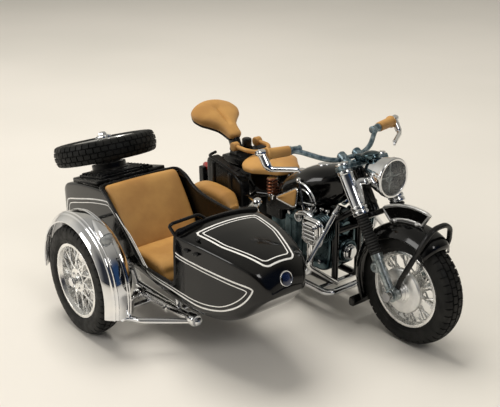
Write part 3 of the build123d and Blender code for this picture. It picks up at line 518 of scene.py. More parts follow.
def tyrePart():
    # the section turned round the axle; the radius drops by the tread depth in the round and cross grooves,
    # and each row of blocks is half a block on from its neighbour
    rows = np.array(tyreRows)
    rows = np.vstack([rows[::-1] * [-1, 1, 1, 1], rows])
    y, radius, roundGroove, crossGroove = rows.T
    crown = wheelRadius - tyreForm["crownDrop"] * (y / tyreForm["crownHalf"]) ** 2
    radius = np.where(radius == 0, crown, radius)
    shift = np.where(np.abs(y) < 3.4, 0.0, 0.5) + np.where(y < 0, 0.5, 0.0)
    near, far = tyreForm["grooveHalf"], tyreForm["grooveHalf"] + tyreForm["grooveSlope"]
    marks = np.array([-far, -near, near, far, 0.25])
    marks = np.sort(np.concatenate([marks, marks + 0.5]))
    turn = (np.arange(tyreForm["blocks"])[:, None] + marks).ravel()
    place = np.mod(turn[None] + shift[:, None] + 0.5, 1.0) - 0.5
    cross = np.clip((far - np.abs(place)) / tyreForm["grooveSlope"], 0, 1) * crossGroove[:, None]
    cut = tyreForm["depth"] * np.maximum(cross, roundGroove[:, None])
    reach = radius[:, None] - cut
    angle = turn * 2 * np.pi / tyreForm["blocks"]
    side = y[:, None] - np.sign(y[:, None]) * 0.25 * cross * (np.abs(y[:, None]) > 5.8)
    points = np.stack([reach * np.cos(angle), side * np.ones_like(reach), reach * np.sin(angle)], axis=-1)
    return gridPart(points, closeRows=True, closeCols=True)


rimForm = dict(lip=22.4, well=20.8, inside=19.4, half=5.9, wall=0.8, spokes=10, lead=26.0, footRadius=5.9,
               footY=4.1, tipY=1.7, sink=0.4, thin=0.5, thick=0.78, bolts=5, boltReach=4.9, boltY=4.8,
               boltRadius=0.75, boltHalf=0.6)


def wheelPoint(reach, angle, y):
    # a point at an angle round a wheel's axle, seen from the side
    return np.array([reach * math.cos(angle), y, reach * math.sin(angle)])


def spokePart(angleFoot, angleTip, side):
    # a straight tapered bar from the hub flange to the rim's inner wall
    foot = wheelPoint(rimForm["footRadius"], angleFoot, side * rimForm["footY"])
    tip = wheelPoint(rimForm["inside"] + rimForm["sink"], angleTip, side * rimForm["tipY"])
    share = np.linspace(0, 1, 4)[:, None]
    return tubePart(foot * (1 - share) + tip * share, np.linspace(rimForm["thin"], rimForm["thick"], 4), 8)


def bothFaces(profile):
    # half of a wheel's profile, then its mirror image back again
    return profile + [(-y, radius) for y, radius in reversed(profile)]


def rimParts():
    # a channel rim, a hub, pairs of crossing spokes on both sides and a ring of bolts
    half, lip, well, inside, wall = (rimForm[key] for key in ("half", "lip", "well", "inside", "wall"))
    channel = bothFaces([
        (0, inside), (half - 2.2, inside + 0.1), (half - 0.5, inside + 1.0), (half, inside + 1.2),
        (half, lip), (half - wall, lip), (half - wall, well),
    ])
    parts = [turnedPart(channel, (0, 0, 0), sides=96, soft=0.3)]
    # hub: barrel, two flanges with raised rings and an end boss
    hub = bothFaces([
        (-5.6, 1.7), (-5.6, 2.9), (-5.2, 3.4), (-4.8, 3.4), (-4.7, 6.2), (-4.5, 7.2), (-3.6, 7.2),
        (-3.3, 4.4), (-2.0, 3.7),
    ])
    parts.append(turnedPart(hub + hub[:1], (0, 0, 0), sides=48, soft=0.2))
    for side in (-1, 1):
        for pair in range(rimForm["spokes"]):
            middle = math.radians(360.0 / rimForm["spokes"] * (pair + side / 4))
            for lead in (-math.radians(rimForm["lead"]), math.radians(rimForm["lead"])):
                parts.append(spokePart(middle + lead, middle - lead / 3, side))
        for bolt in range(rimForm["bolts"]):
            spot = wheelPoint(rimForm["boltReach"], 2 * math.pi * bolt / rimForm["bolts"],
                              side * rimForm["boltY"])
            parts.append(pegPart(-rimForm["boltHalf"], rimForm["boltHalf"], rimForm["boltRadius"], 0.15, spot,
                                 alongY, 6))
    return parts


wheelTyre = tyrePart()
wheelRim = rimParts()
spareForm = dict(x=-190.0, y=-82.0, z=86.0, tilt=16.0)
spareTurn = (
    Matrix.Translation((spareForm["x"], spareForm["y"], spareForm["z"]))
    @ Matrix.Rotation(math.radians(-spareForm["tilt"]), 4, "Y")
)
wheelPlaces = [
    ("front", "front_wheel", Matrix.Translation(frontHub)),
    ("rear", "rear_wheel", Matrix.Translation(rearHub)),
    ("sidecar", "sidecar_wheel", Matrix.Translation(sideAxle)),
    ("spare", "trunk_lid", spareTurn @ Matrix.Rotation(math.radians(90), 4, "X")),
]
for name, body, matrix in wheelPlaces:
    makePiece(name + "TyreTread", [moved(wheelTyre, matrix)], "tyreRubber", body,
              [name + "_tyre"], 28)
    rim = [moved(part, matrix) for part in wheelRim]
    makePiece(name + "WireRim", rim, "wheelSilver", body, [name + "_rim"])
print("wheels made")

# front drum
drumProfile = [
    (-6.25, 0), (-6.25, 13.0), (-6.6, 13.4), (-7.9, 13.4), (-8.7, 12.7), (-9.1, 10.0), (-9.2, 7.4),
    (-9.3, 6.6), (-10.2, 6.4), (-10.3, 5.6), (-11.3, 5.5), (-11.4, 4.6), (-12.35, 4.5), (-12.35, 0),
]
makePiece("frontDrum", [turnedPart(drumProfile, frontHub, sides=96, soft=0.35)], "satinSilver",
          "fork", ["front_brake_plate"])

# fork
forkForm = dict(rake=32.5, setback=1.0, spacing=30.0, legTop=23.5, gaiterTop=46.5, folds=13)
upFork = np.array([-math.sin(math.radians(forkForm["rake"])), 0, math.cos(math.radians(forkForm["rake"]))])
outFork = np.array([math.cos(math.radians(forkForm["rake"])), 0, math.sin(math.radians(forkForm["rake"]))])


def forkPoint(along, ahead, y):
    # so far up the fork from the axle and so far ahead of the legs
    return np.array([-forkForm["setback"], y, wheelRadius]) + upFork * along + outFork * ahead


def gaiterProfile():
    # radius swells once for each fold between two collars
    share = np.linspace(0, 1, forkForm["folds"] * 8 + 1)
    along = forkForm["legTop"] + 1.6 + share * (forkForm["gaiterTop"] - forkForm["legTop"] - 1.8)
    radius = 2.85 + 0.75 * np.abs(np.sin(np.pi * forkForm["folds"] * share)) ** 0.7
    folds = np.stack([along, radius], axis=-1)
    low, high = forkForm["legTop"] + 0.05, forkForm["gaiterTop"]
    foot = np.array([(low, 0), (low, 3.35), (low + 1.2, 3.35), (low + 1.5, 2.9)])
    return np.vstack([foot, folds, [(high, 3.0), (high, 0)]])


shroudProfile = [
    (46.55, 0), (46.55, 4.3), (46.8, 4.7), (48.6, 4.7), (48.8, 4.35), (49.4, 4.35), (49.6, 4.75),
    (51.4, 4.75), (51.7, 4.1), (70.7, 4.1), (70.9, 4.6), (72.9, 4.6), (72.95, 0),
]
legY = forkForm["spacing"] / 2
gaiters, shrouds = [], []
for y in (-legY, legY):
    base = forkPoint(0, 0, y)
    gaiters.append(turnedPart(gaiterProfile(), base, upFork, 32))
    shrouds.append(turnedPart(shroudProfile, base, upFork, 48, soft=0.25))
makePiece("forkBellows", gaiters, "blackRubber", "fork", ["fork_gaiters"], 60)
makePiece("forkCovers", shrouds, "chrome", "fork", ["fork_shrouds"])

# the crowns that hold the fork: a wide one on top with its bar clamps, a slim dark one between the covers
crownForm = dict(top=74.6, low=45.0, thick=3.0, stemAhead=-5.5, clampY=6.0, clampAhead=-4.0, clampX=-51.5,
                 clampZ=98.4)
crownCorners = [
    (-19.4, -3.4), (-19.4, 3.6), (-12.0, 4.2), (-5.0, 1.6), (5.0, 1.6), (12.0, 4.2), (19.4, 3.6),
    (19.4, -3.4), (7.0, -9.6), (-7.0, -9.6),
]
topEdge = roundedOutline(crownCorners, 3.4, 6)
crown = [slabPart(topEdge, -crownForm["thick"] / 2, crownForm["thick"] / 2, 0.7, across=alongY, up=outFork,
                  centre=forkPoint(crownForm["top"], 0, 0))]
for y in (-crownForm["clampY"], crownForm["clampY"]):
    foot = forkPoint(crownForm["top"] + 1.0, crownForm["clampAhead"], y)
    clampTop = np.array([crownForm["clampX"], y, crownForm["clampZ"]])
    clampRun = np.linalg.norm(clampTop - foot)
    post = [(0, 0), (0, 3.0), (1.2, 2.7), (clampRun - 3.4, 2.2), (clampRun - 2.6, 2.7), (clampRun + 1.4, 2.7),
            (clampRun + 2.2, 2.0), (clampRun + 2.2, 0)]
    crown.append(turnedPart(post, foot, clampTop - foot, 28, soft=0.4))
stemNut = [(-2, 0), (-2, 3.2), (3.0, 3.2), (3.8, 2.4), (3.8, 0)]
crown.append(turnedPart(stemNut, forkPoint(crownForm["top"], crownForm["stemAhead"], 0), upFork, 6, soft=0.4))
makePiece("forkCrownTop", crown, "tealGrey", "fork", ["fork_yokes"])
capNut = [(1.0, 0), (1.0, 3.9), (2.6, 3.9), (3.0, 3.4), (3.2, 2.4), (3.6, 2.0), (3.6, 0)]
caps = [turnedPart(capNut, forkPoint(crownForm["top"], 0, y), upFork, 32, soft=0.3) for y in (-legY, legY)]
makePiece("forkCapNuts", caps, "wheelSilver", "fork")
lowEdge = roundedOutline([(-10.8, -3.0), (-10.8, 3.0), (10.8, 3.0), (10.8, -3.0), (5.0, -8.6), (-5.0, -8.6)],
                         2.0, 5)
lowCrown = [slabPart(lowEdge, -1.5, 1.5, 0.6, across=alongY, up=outFork,
                     centre=forkPoint(crownForm["low"], 0, 0))]
stem = [forkPoint(along, crownForm["stemAhead"], 0) for along in (44.0, 74.0)]
lowCrown.append(rodPart(*stem, 2.2, 20))
makePiece("forkCrownLow", lowCrown, "satinBlack", "fork")

# handlebar
barForm = dict(radius=1.5, bend=6.0)
# right half from the grip's end inwards: x, distance from the middle, z
barHalf = [(-65.8, 49.0, 105.5), (-62.6, 33.0, 105.2), (-53.4, 19.0, 99.2), (-51.5, 10.0, 96.6)]
barRoute = [(x, -y, z) for x, y, z in barHalf] + barHalf[::-1]
bar = [tubePart(bentPath(barRoute, barForm["bend"]), barForm["radius"], 20)]
tip, neck = np.array(barRoute[0]), np.array(barRoute[1])
inward = unit(neck - tip)
# switch housing beside the grip, with a clamp ring at each end
housing = [(13.2, 0), (13.2, 2.3), (13.6, 2.5), (14.4, 2.5), (14.6, 2.15), (19.4, 2.05), (19.6, 2.35),
           (20.4, 2.35), (20.6, 1.5), (20.6, 0)]
switches = [turnedPart(housing, tip, inward, 24, soft=0.2)]
makePiece("handlebarTube", bar + bothSides(switches), "tealGrey", "fork", ["handlebar"])
gripProfile = [(-1.6, 0), (-1.6, 3.5), (-1.3, 3.8), (-0.3, 3.8), (0.1, 3.3), (1.0, 3.15), (12.2, 2.95),
               (12.9, 2.9), (13.1, 2.5), (13.1, 0)]
makePiece("barGrips", bothSides([turnedPart(gripProfile, tip, inward, 40, soft=0.3)]), "tan", "fork",
          ["handlebar_grips"])
leverForm = dict(pivot=(-66.6, -53.4, 106.6), knee=(-61.0, -53.0, 98.6), end=(-52.6, -39.4, 97.6),
                 hook=(-51.6, -38.2, 95.9))
leverRoute = [leverForm["pivot"], leverForm["knee"], leverForm["end"], leverForm["hook"]]
leverPath = curveThrough(bentPath(leverRoute, 3.2), 60)
# share of the lever's length, half its width
leverRows = [(0, 2.5), (0.14, 2.4), (0.3, 1.8), (0.5, 1.55), (0.85, 1.2), (1.0, 0.8)]
leverSize = easeTable(leverRows, np.linspace(0, 1, 60))[:, 0]
lever = [carriedPart(leverPath, ring(16, 1.0, 0.78, 0.8), leverSize)]
leverBoss = [(-3.4, 0), (-3.4, 1.5), (-2.0, 1.6), (-1.8, 2.3), (1.8, 2.3), (2.0, 1.2), (2.6, 1.1), (2.6, 0)]
lever.append(turnedPart(leverBoss, leverForm["pivot"], (0.2, 1, -0.1), 24, soft=0.3))
lever.append(rodPart(tip - inward * 1.7, leverForm["pivot"], 1.5, 16))
makePiece("brakeLevers", bothSides(lever), "chrome", "fork", ["control_levers"])

# headlamp, its back pointing to -X
lampForm = dict(front=-17.5, z=93.0, earAlong=52.8, earAhead=3.6, boltX=-27.0, boltY=9.6, boltZ=91.0,
                ridges=9, bulbX=-22.8, shieldX=-20.3, crossX=-19.9, crossLong=9.0, crossThin=0.55)
lampFront = (lampForm["front"], 0, lampForm["z"])
bowl = [(-19.0, 0), (-19.0, 3.6), (-17.6, 5.2), (-12.5, 8.4), (-7.0, 10.2), (-3.6, 10.8), (-2.2, 10.9),
        (-2.0, 11.5), (0.4, 11.6), (1.0, 11.2), (0.9, 10.0), (0.2, 9.8), (-2.4, 9.7), (-6.5, 7.4),
        (-9.0, 3.8), (-9.8, 0)]
lampParts = [turnedPart(bowl, lampFront, alongX, 72, soft=0.35)]
for y in (-1, 1):
    ear = np.array([forkPoint(lampForm["earAlong"], lampForm["earAhead"], y * legY), (-33.0, y * 11.5, 89.5),
                    (-28.5, y * 8.0, 90.0)])
    lampParts.append(carriedPart(bentPath(ear, 3.0), ring(14, 1.9, 1.2, 0.7)))
    bolt = (lampForm["boltX"], y * lampForm["boltY"], lampForm["boltZ"])
    lampParts.append(pegPart(-1.4, 1.4, 1.9, 0.3, bolt, alongY, 20))
makePiece("headlampBowl", lampParts, "chrome", "fork", ["headlamp_shell"])
lens = [(0.3, 9.8), (0.8, 9.4), (1.5, 7.6), (2.0, 5.2), (2.3, 2.6), (2.4, 0), (1.9, 0), (1.5, 5.0),
        (0.4, 9.0), (0.3, 9.8)]
makePiece("headlampGlass", [turnedPart(lens, lampFront, alongX, 64)], "lampGlass", "fork",
          ["headlamp_lens"])
# ridged reflector inside the bowl: its depth grows with a power of the radius
dish = [(-9.0, 0), (-8.6, 2.4)]
for step in range(lampForm["ridges"]):
    radius = 2.8 + step * 0.76
    depth = -8.8 + 7.0 * ((radius - 2.0) / 7.6) ** 1.6
    dish += [(depth, radius), (depth + 0.5, radius + 0.34), (depth + 0.2, radius + 0.6)]
dish += [(-1.2, 9.7), (-2.4, 9.6), (-9.6, 3.0), (-9.6, 0)]
makePiece("headlampReflector", [turnedPart(dish, lampFront, alongX, 64)], "smokeMirror", "fork",
          sharp=20)
# bulb behind a round shield and a cross of two thin bars
bulbParts = [ballPart((lampForm["bulbX"], 0, lampForm["z"]), (1.6, 1.7, 1.7), 1.0, 20)]
shieldSpot, crossSpot = ((lampForm[key], 0, lampForm["z"]) for key in ("shieldX", "crossX"))
bulbParts.append(slabPart(ring(24, 3.2, 3.2), -0.3, 0.3, 0.15, across=alongY, centre=shieldSpot))
crossBar = (lampForm["crossThin"], lampForm["crossLong"])
for reach in (crossBar, crossBar[::-1]):
    bulbParts.append(slabPart(ring(24, *reach, 0.25), -0.3, 0.3, 0.12, across=alongY, centre=crossSpot))
makePiece("headlampBulb", bulbParts, "castGrey", "fork")

# instrument pod
podForm = dict(at=(-34.8, 0, 101.9), axis=(-0.2, 0, 0.98), backAt=(-40.5, 0, 98.9), backSize=(6.0, 3.0, 1.9))
podProfile = [(-1.7, 0), (-1.7, 4.6), (-1.0, 5.3), (0.6, 5.45), (1.2, 5.2), (1.3, 4.7), (1.9, 3.9),
              (2.4, 2.2), (2.6, 0)]
pod = [turnedPart(podProfile, podForm["at"], podForm["axis"], 48, soft=0.3)]
pod.append(ballPart(podForm["backAt"], podForm["backSize"], 0.6, 28))
makePiece("instrumentPod", pod, "tealChrome", "fork", ["instrument_pod"])
# eye lugs on the backs of the lower legs
lugForm = dict(along=16.6, ahead=-4.6, radius=2.0)
lugs = []
turn = np.linspace(0, 2 * np.pi, 28, endpoint=False)[:, None]
for y in (-legY, legY):
    eye = forkPoint(lugForm["along"], lugForm["ahead"], y)
    eye = eye + lugForm["radius"] * (np.cos(turn) * upFork + np.sin(turn) * outFork)
    lugs.append(carriedPart(eye, ring(14, 0.95, 1.5, 0.7), 1.0, True, side=alongY))
makePiece("legLugs", lugs, "castGrey", "fork")
print("fork group made")

# fenders
def fenderParts(form, centre, ribs=()):
    # an arched section turned about the axle: outer and inner skins joined at the rims, with a rolled lip;
    # the crown drops towards its front end where the form asks for a rounded nose
    across = np.linspace(-1, 1, form.get("columns", 41))
    if ribs:
        extra = np.concatenate([np.array(ribs) + step for step in (-0.7, -0.42, -0.2, 0, 0.2, 0.42, 0.7)])
        across = np.unique(np.concatenate([across, extra / form["half"]]))
    angle = np.radians(np.linspace(form["start"], form["end"], form.get("rows", 97)))
    drop = form["crown"] - form["lip"]
    radius = form["crown"] - drop * np.abs(across) ** form["power"]
    for rib in ribs:
        radius = radius + form["ribHeight"] * np.exp(-(((across * form["half"] - rib) / 0.42) ** 4))
    nose = np.clip(1 - (angle - angle[0]) / form.get("noseTurn", 0.001), 0, 1)
    dip = form.get("nose", 0) * (1 - np.sqrt(1 - nose**2))
    skins = []
    for depth in (0.0, form["wall"]):
        reach = radius[None] - depth - dip[:, None]
        y = across[None] * (form["half"] - depth)
        skin = np.stack([reach * np.cos(angle)[:, None], y + 0 * reach, reach * np.sin(angle)[:, None]],
                        axis=-1)
        if form.get("drop"):
            down = np.array([np.sin(angle[0]), 0, -np.cos(angle[0])])
            lower = [skin[:1] + down * form["drop"] * share for share in (1.0, 0.75, 0.5, 0.25)]
            skin = np.concatenate(lower + [skin])
        skins.append(skin + np.asarray(centre, float))
    outer, inner = skins
    parts = [gridPart(outer), gridPart(inner[:, ::-1])]
    for end in (0, -1):
        parts.append(gridPart(np.stack([outer[end], inner[end]])))
    for rim in (0, -1):
        parts.append(gridPart(np.stack([outer[:, rim], inner[:, rim]])))
    for rim in (0, -1):
        parts.append(tubePart(outer[:, rim] * 0.5 + inner[:, rim] * 0.5, form["bead"], 10))
    return parts


frontFender = dict(crown=38.4, lip=31.6, half=10.7, power=2.9, start=56, end=209, wall=0.9, bead=0.65,
                   nose=3.0, noseTurn=0.2)
fender = fenderParts(frontFender, frontHub)
# a bar across its foot and a boss on each side of its crown
footSpot = frontHub + wheelPoint(39.0, math.radians(frontFender["end"]), 0)
fender.append(slabPart(ring(28, 2.3, 2.9, 0.7), -12.8, 12.8, 0.9, centre=footSpot))
for y in (-1, 1):
    fender.append(rodPart((-17.2, y * 9.8, 65.2), (-17.2, y * 13.0, 65.2), 1.2, 12))
makePiece("frontMudguard", fender, "glossBlack", "fork", ["front_fender"])

# upright plate on the front mudguard, left blank, in a bright frame on two studs
plateForm = dict(top=46.9, bottom=39.0, topFrom=77.6, topTo=120.4, lowFrom=82.0, lowTo=117.0, half=0.55,
                 trim=1.0, studReach=38.6, studRadius=1.5, studY=-0.8)


def plateArc(reach, start, end, count):
    # (x, z) along an arc about the front axle
    turn = np.radians(np.linspace(start, end, count))
    return np.stack([reach * np.cos(turn), wheelRadius + reach * np.sin(turn)], axis=-1)


plateEdge = np.vstack([
    plateArc(plateForm["top"], plateForm["topFrom"], plateForm["topTo"], 25),
    plateArc(plateForm["bottom"], plateForm["lowTo"], plateForm["lowFrom"], 21),
])
makePiece("frontPlateBlank", [slabPart(plateEdge, -plateForm["half"], plateForm["half"], 0.15)], "glossBlack",
          "fork", ["front_number_plate"])
frameLine = np.stack([plateEdge[:, 0], np.zeros(len(plateEdge)), plateEdge[:, 1]], axis=-1)
plateTrim = [tubePart(frameLine, plateForm["trim"], 10, True)]
for x in (-13.6, 2.2):
    top = wheelRadius + math.sqrt(plateForm["studReach"]**2 - x**2)
    plateTrim.append(ballPart((x, plateForm["studY"], top), [plateForm["studRadius"]] * 3, 1.0, 20))
    plateTrim.append(rodPart((x, 0, top - 2.0), (x, 0, top + 1.0), 0.8, 12))
makePiece("frontPlateFrame", plateTrim, "satinSilver", "fork")

# dark hoop round the front wheel, from the axle up to the mudguard's nose
hoopHalf = [(0.6, -12.7, 35.0), (2.8, -12.9, 41.5), (13.8, -12.9, 62.0), (17.0, -8.8, 72.0),
            (17.6, -4.0, 75.0)]
hoop = [carriedPart(bentPath(bothWays(hoopHalf), 4.0), ring(16, 1.25, 1.5, 0.8))]
for y in (-12.4, 12.4):
    hoop.append(pegPart(-0.8, 0.8, 2.4, 0.3, (0.0, y, 33.6), alongY, 24))
makePiece("frontGuardHoop", hoop, "satinBlack", "fork", ["front_hoop"])

rearFender = dict(crown=38.2, lip=33.9, half=10.1, power=2.3, start=37, end=186, wall=0.9, bead=0.6)
rearParts = fenderParts(rearFender, rearHub)
# two stays on each side
for y in (-1, 1):
    for turn in (60.0, 150.0):
        end = rearHub + wheelPoint(34.6, math.radians(turn), y * 10.6)
        rearParts.append(rodPart(rearHub + (0, y * 12.4, 3.0), end, 0.8))
makePiece("rearMudguard", rearParts, "glossBlack", "root", ["rear_fender"])
# box that carries the rear plate, with a bracket to the frame, and the lamp over it
lampBox = [slabPart(np.array([(-196, 40.5), (-190.6, 40), (-190.4, 56), (-196, 55.5)]), -5.4, 5.4, 0.9)]
lampBox.append(slabPart(np.array([(-191.2, 43.4), (-185.2, 44.4), (-185.0, 47.0), (-191.2, 47.4)]), -2.2, 2.2,
                        0.5))
makePiece("rearPlateBox", lampBox, "satinBlack", "root", ["tail_lamp"])
tailForm = dict(at=(-188.0, 0, 55.6), soft=0.5)
tailProfile = [(0, 0), (0, 2.7), (-4.0, 2.8), (-7.2, 2.4), (-8.0, 1.5), (-8.2, 0)]
makePiece("tailLens", [turnedPart(tailProfile, tailForm["at"], alongX, 32, soft=tailForm["soft"])], "lampRed",
          "root")
print("fenders made")

# tank
# x, half width, low z, shoulder z, crest z
tankRows = [
    (-52.3, 5.0, 73.0, 80.5, 86.0), (-56.0, 9.6, 68.5, 80.3, 88.0), (-62.0, 13.6, 64.0, 78.0, 88.6),
    (-76.0, 17.8, 60.6, 72.5, 86.2), (-90.0, 17.2, 59.8, 67.5, 79.6), (-99.0, 14.2, 60.2, 65.2, 73.4),
    (-104.2, 9.6, 61.4, 64.2, 68.8),
]


def bodyPart(rows, middleY, count, topPower, lowPower, sides=56):
    # sections through a table: an ellipse-like top over the shoulder line and a squarer belly under it
    rows = np.array(sorted(rows))
    x = np.linspace(rows[0, 0], rows[-1, 0], count)
    half, low, shoulder, crest = easeTable(rows, x).T
    angle = np.linspace(0, 2 * np.pi, sides, endpoint=False)
    cos, sin = np.cos(angle), np.sin(angle)
    upper = sin >= 0
    power = np.where(upper, topPower, lowPower)
    rise = np.abs(sin) ** power
    y = half[:, None] * powered(cos, power)
    above = shoulder[:, None] + (crest - shoulder)[:, None] * rise
    below = shoulder[:, None] - (shoulder - low)[:, None] * rise
    x = np.repeat(x[:, None], sides, axis=1)
    return bluntPart(np.stack([x, y + middleY, np.where(upper, above, below)], axis=-1), 1.2, 5)


makePiece("fuelTankShell", [bodyPart(tankRows, 0.0, 60, 0.82, 0.62)], "glossBlack", "root",
          ["fuel_tank"], 50)
capProfile = [(-1.0, 0), (-1.0, 4.2), (0.6, 4.4), (1.2, 4.0), (1.5, 2.0), (1.7, 0)]
makePiece("tankCap", [turnedPart(capProfile, (-72.0, 0, 86.8), (-0.16, 0, 1), 32, soft=0.3)], "chrome",
          "root")

# knee pads: a rounded triangle of soft plastic in a bright border
padForm = dict(outside=-19.7, inside=-17.0, bend=3.0, border=1.07, borderY=-18.7, borderRadius=0.6)
padEdge = roundedOutline([(-95.0, 64.0), (-77.6, 62.6), (-75.6, 75.2)], padForm["bend"])
padMiddle = padEdge.mean(axis=0)
padBorder = padMiddle + (padEdge - padMiddle) * padForm["border"]
padRing = np.stack([padBorder[:, 0], np.full(len(padEdge), padForm["borderY"]), padBorder[:, 1]], axis=-1)
pad = slabPart(padEdge, padForm["outside"], padForm["inside"], 0.9)
makePiece("kneePads", bothSides([pad]), "tan", "root", ["knee_pads"])
makePiece("kneePadTrim", bothSides([tubePart(padRing, padForm["borderRadius"], 8, True)]), "wheelSilver",
          "root")

# shift gate: two bright arcs, a cross tie and the lever through them
gateOuter = [(-75.0, -17.9, 79.0), (-69.0, -18.0, 78.4), (-62.5, -18.2, 74.0), (-60.4, -18.2, 67.5),
             (-63.4, -18.1, 61.5)]
gateInner = [(-72.0, -17.9, 75.4), (-67.4, -18.0, 74.6), (-63.8, -18.1, 71.2), (-63.0, -18.1, 67.0),
             (-65.2, -18.0, 63.6)]
gate = [tubePart(curveThrough(gateOuter, 36), 0.75, 10), tubePart(curveThrough(gateInner, 36), 0.6, 10)]
gateRods = [
    ((-71.0, -18.0, 67.2), (-60.6, -18.1, 68.6), 0.6), ((-75.0, -17.9, 79.4), (-68.6, -18.2, 57.6), 0.8),
    ((-65.2, -18.0, 63.6), (-63.2, -18.1, 61.2), 0.8),
]
gate += [rodPart(*rod) for rod in gateRods]
gate.append(ballPart((-75.2, -17.9, 80.2), (1.7, 1.7, 1.7), 1.0, 18))
gate.append(rodPart((-69.0, -18.0, 57.0), (-69.0, -12.0, 56.0), 0.9))
makePiece("shiftGate", gate, "chrome", "root", ["shift_gate"])
print("tank made")

# engine
engineForm = dict(x=-57.6, z=54.0, barrel=6.6, finRadius=8.6, firstFin=12.5, fins=5, pitch=1.8,
                  coverRing=-22.4, ribRises=(-3.6, -1.2, 1.2, 3.6), screwReach=4.2)
cylinder = [(11.4, 0), (11.4, engineForm["barrel"])]
for fin in range(engineForm["fins"]):
    start = engineForm["firstFin"] + fin * engineForm["pitch"]
    edge = engineForm["finRadius"] - 0.2
    cylinder += [(start, engineForm["barrel"]), (start + 0.1, edge), (start + 0.25, engineForm["finRadius"])]
    cylinder += [(start + 0.5, engineForm["finRadius"]), (start + 0.65, edge),
                 (start + 0.75, engineForm["barrel"])]
cylinder += [(20.5, engineForm["barrel"]), (20.5, 0)]
cylinderSpot = np.array([engineForm["x"], 0, engineForm["z"]])
barrel = turnedPart(cylinder, cylinderSpot, toRight, 48)
makePiece("finnedCylinders", bothSides([barrel]), "tealChrome", "root", ["engine_cylinders"])
# rocker cover: two squarish steps, a rim, four ribs and four screws
headOutline = ring(48, 7.7, 8.2, 0.42)
rocker = [slabPart(headOutline, -24.4, -20.5, 1.2, centre=cylinderSpot, steps=5)]
rocker.append(slabPart(headOutline * 0.72, -26.0, -24.0, 0.8, centre=cylinderSpot))
coverLine = np.insert(headOutline * 0.97, 1, engineForm["coverRing"], axis=1) + cylinderSpot
rocker.append(tubePart(coverLine, 0.7, 10, True))
for rise in engineForm["ribRises"]:
    rocker.append(slabPart(ring(20, 5.0, 0.5, 0.4), -26.7, -25.6, 0.25, centre=cylinderSpot + (0, 0, rise)))
for x in (-engineForm["screwReach"], engineForm["screwReach"]):
    for z in (-engineForm["screwReach"], engineForm["screwReach"]):
        rocker.append(pegPart(0, 0.8, 0.8, 0.2, cylinderSpot + (x, -25.9, z), toRight, 6))
makePiece("rockerCovers", bothSides(rocker), "chrome", "root", ["cylinder_heads"])

# crankcase: ribbed front and side covers, a round bright generator cover and small fittings
caseCorners = [(-96, 23.5), (-96, 52), (-84, 59.6), (-55, 59.6), (-54.4, 40), (-56, 26), (-62, 23.5)]
case = [slabPart(roundedOutline(caseCorners, 3.0, 6), -11.2, 11.2, 1.6)]
for x in (-90.0, -85.0, -80.0, -75.0):
    rib = roundedOutline([(x - 1, 27), (x - 1, 50), (x + 1, 50), (x + 1, 27)], 0.6, 4)
    case.append(slabPart(rib, -11.9, 11.9, 0.5))
gearbox = roundedOutline([(-112, 24.5), (-112, 50), (-95, 51.5), (-95, 24.5)], 3.0, 5)
case.append(slabPart(gearbox, -8.8, 8.8, 1.4))
noseFront = [(-5.5, 0), (-5.5, 9.0), (-2.0, 9.2), (-0.6, 8.6), (0.0, 8.4), (3.4, 7.6), (4.6, 6.8), (5.0, 5.4),
             (4.4, 5.0), (4.3, 0)]
case.append(turnedPart(noseFront, (-54.4, 0, 38.0), alongX, 48, soft=0.5))
upperNose = [(-4, 0), (-4, 5.0), (1.2, 5.0), (2.0, 4.2), (2.0, 0)]
case.append(turnedPart(upperNose, (-54.4, 0, 52.0), alongX, 36, soft=0.5))
makePiece("crankcase", case, "tealChrome", "root", ["engine_block"])
generator = [(4.0, 0), (4.0, 4.9), (5.4, 4.9), (5.8, 4.5), (6.8, 4.4), (7.0, 4.0), (7.6, 3.8), (8.0, 2.8),
             (8.2, 0)]
fittings = [turnedPart(generator, (-54.4, 0, 37.6), alongX, 40, soft=0.3)]
smallCap = [(0, 0), (0, 2.6), (5.0, 2.6), (5.4, 2.0), (5.4, 0)]
fittings.append(turnedPart(smallCap, (-68.0, -12.0, 61.0), (0, -1, 0.3), 24, soft=0.4))
largeCap = [(0, 0), (0, 3.2), (3.6, 3.4), (4.2, 2.6), (4.2, 0)]
fittings.append(turnedPart(largeCap, (-79.0, -11.4, 55.0), toRight, 28, soft=0.4))
for x, z in ((-72.0, 33.0), (-62.0, 30.0), (-90.0, 54.0)):
    fittings.append(pegPart(0, 1.4, 1.5, 0.3, (x, -11.3, z), toRight, 6))
intake = [(-79.0, -15.0, 55.4), (-76.0, -17.2, 59.0), (-68.0, -18.2, 61.6), (-62.0, -18.0, 60.6)]
fittings.append(tubePart(curveThrough(intake, 24), 1.7, 16))
for x, z in ((-57.0, 61.0), (-61.8, 61.0)):
    fittings.append(rodPart((x, -13.0, z - 5.0), (x + 0.4, -12.0, z + 3.4), 0.7))
    fittings.append(ballPart((x + 0.4, -12.0, z + 3.4), (1.2, 1.2, 1.2), 0.7, 16))
makePiece("engineFittings", bothSides(fittings[1:]) + fittings[:1], "chrome", "root")

crashHalf = [(-49.5, -9.5, 69.0), (-49.0, -34.4, 40.2), (-49.0, -31.6, 36.6), (-49.0, -10.0, 20.0)]
crash = [tubePart(bentPath(crashHalf, 2.6), 1.35, 16)]
crash.append(pegPart(-1.6, 1.6, 1.9, 0.3, (-49.3, -12.2, 65.8), (0, -0.64, -0.77), 16))
makePiece("crashBars", bothSides(crash), "chrome", "root", ["crash_bars"])
print("engine made")

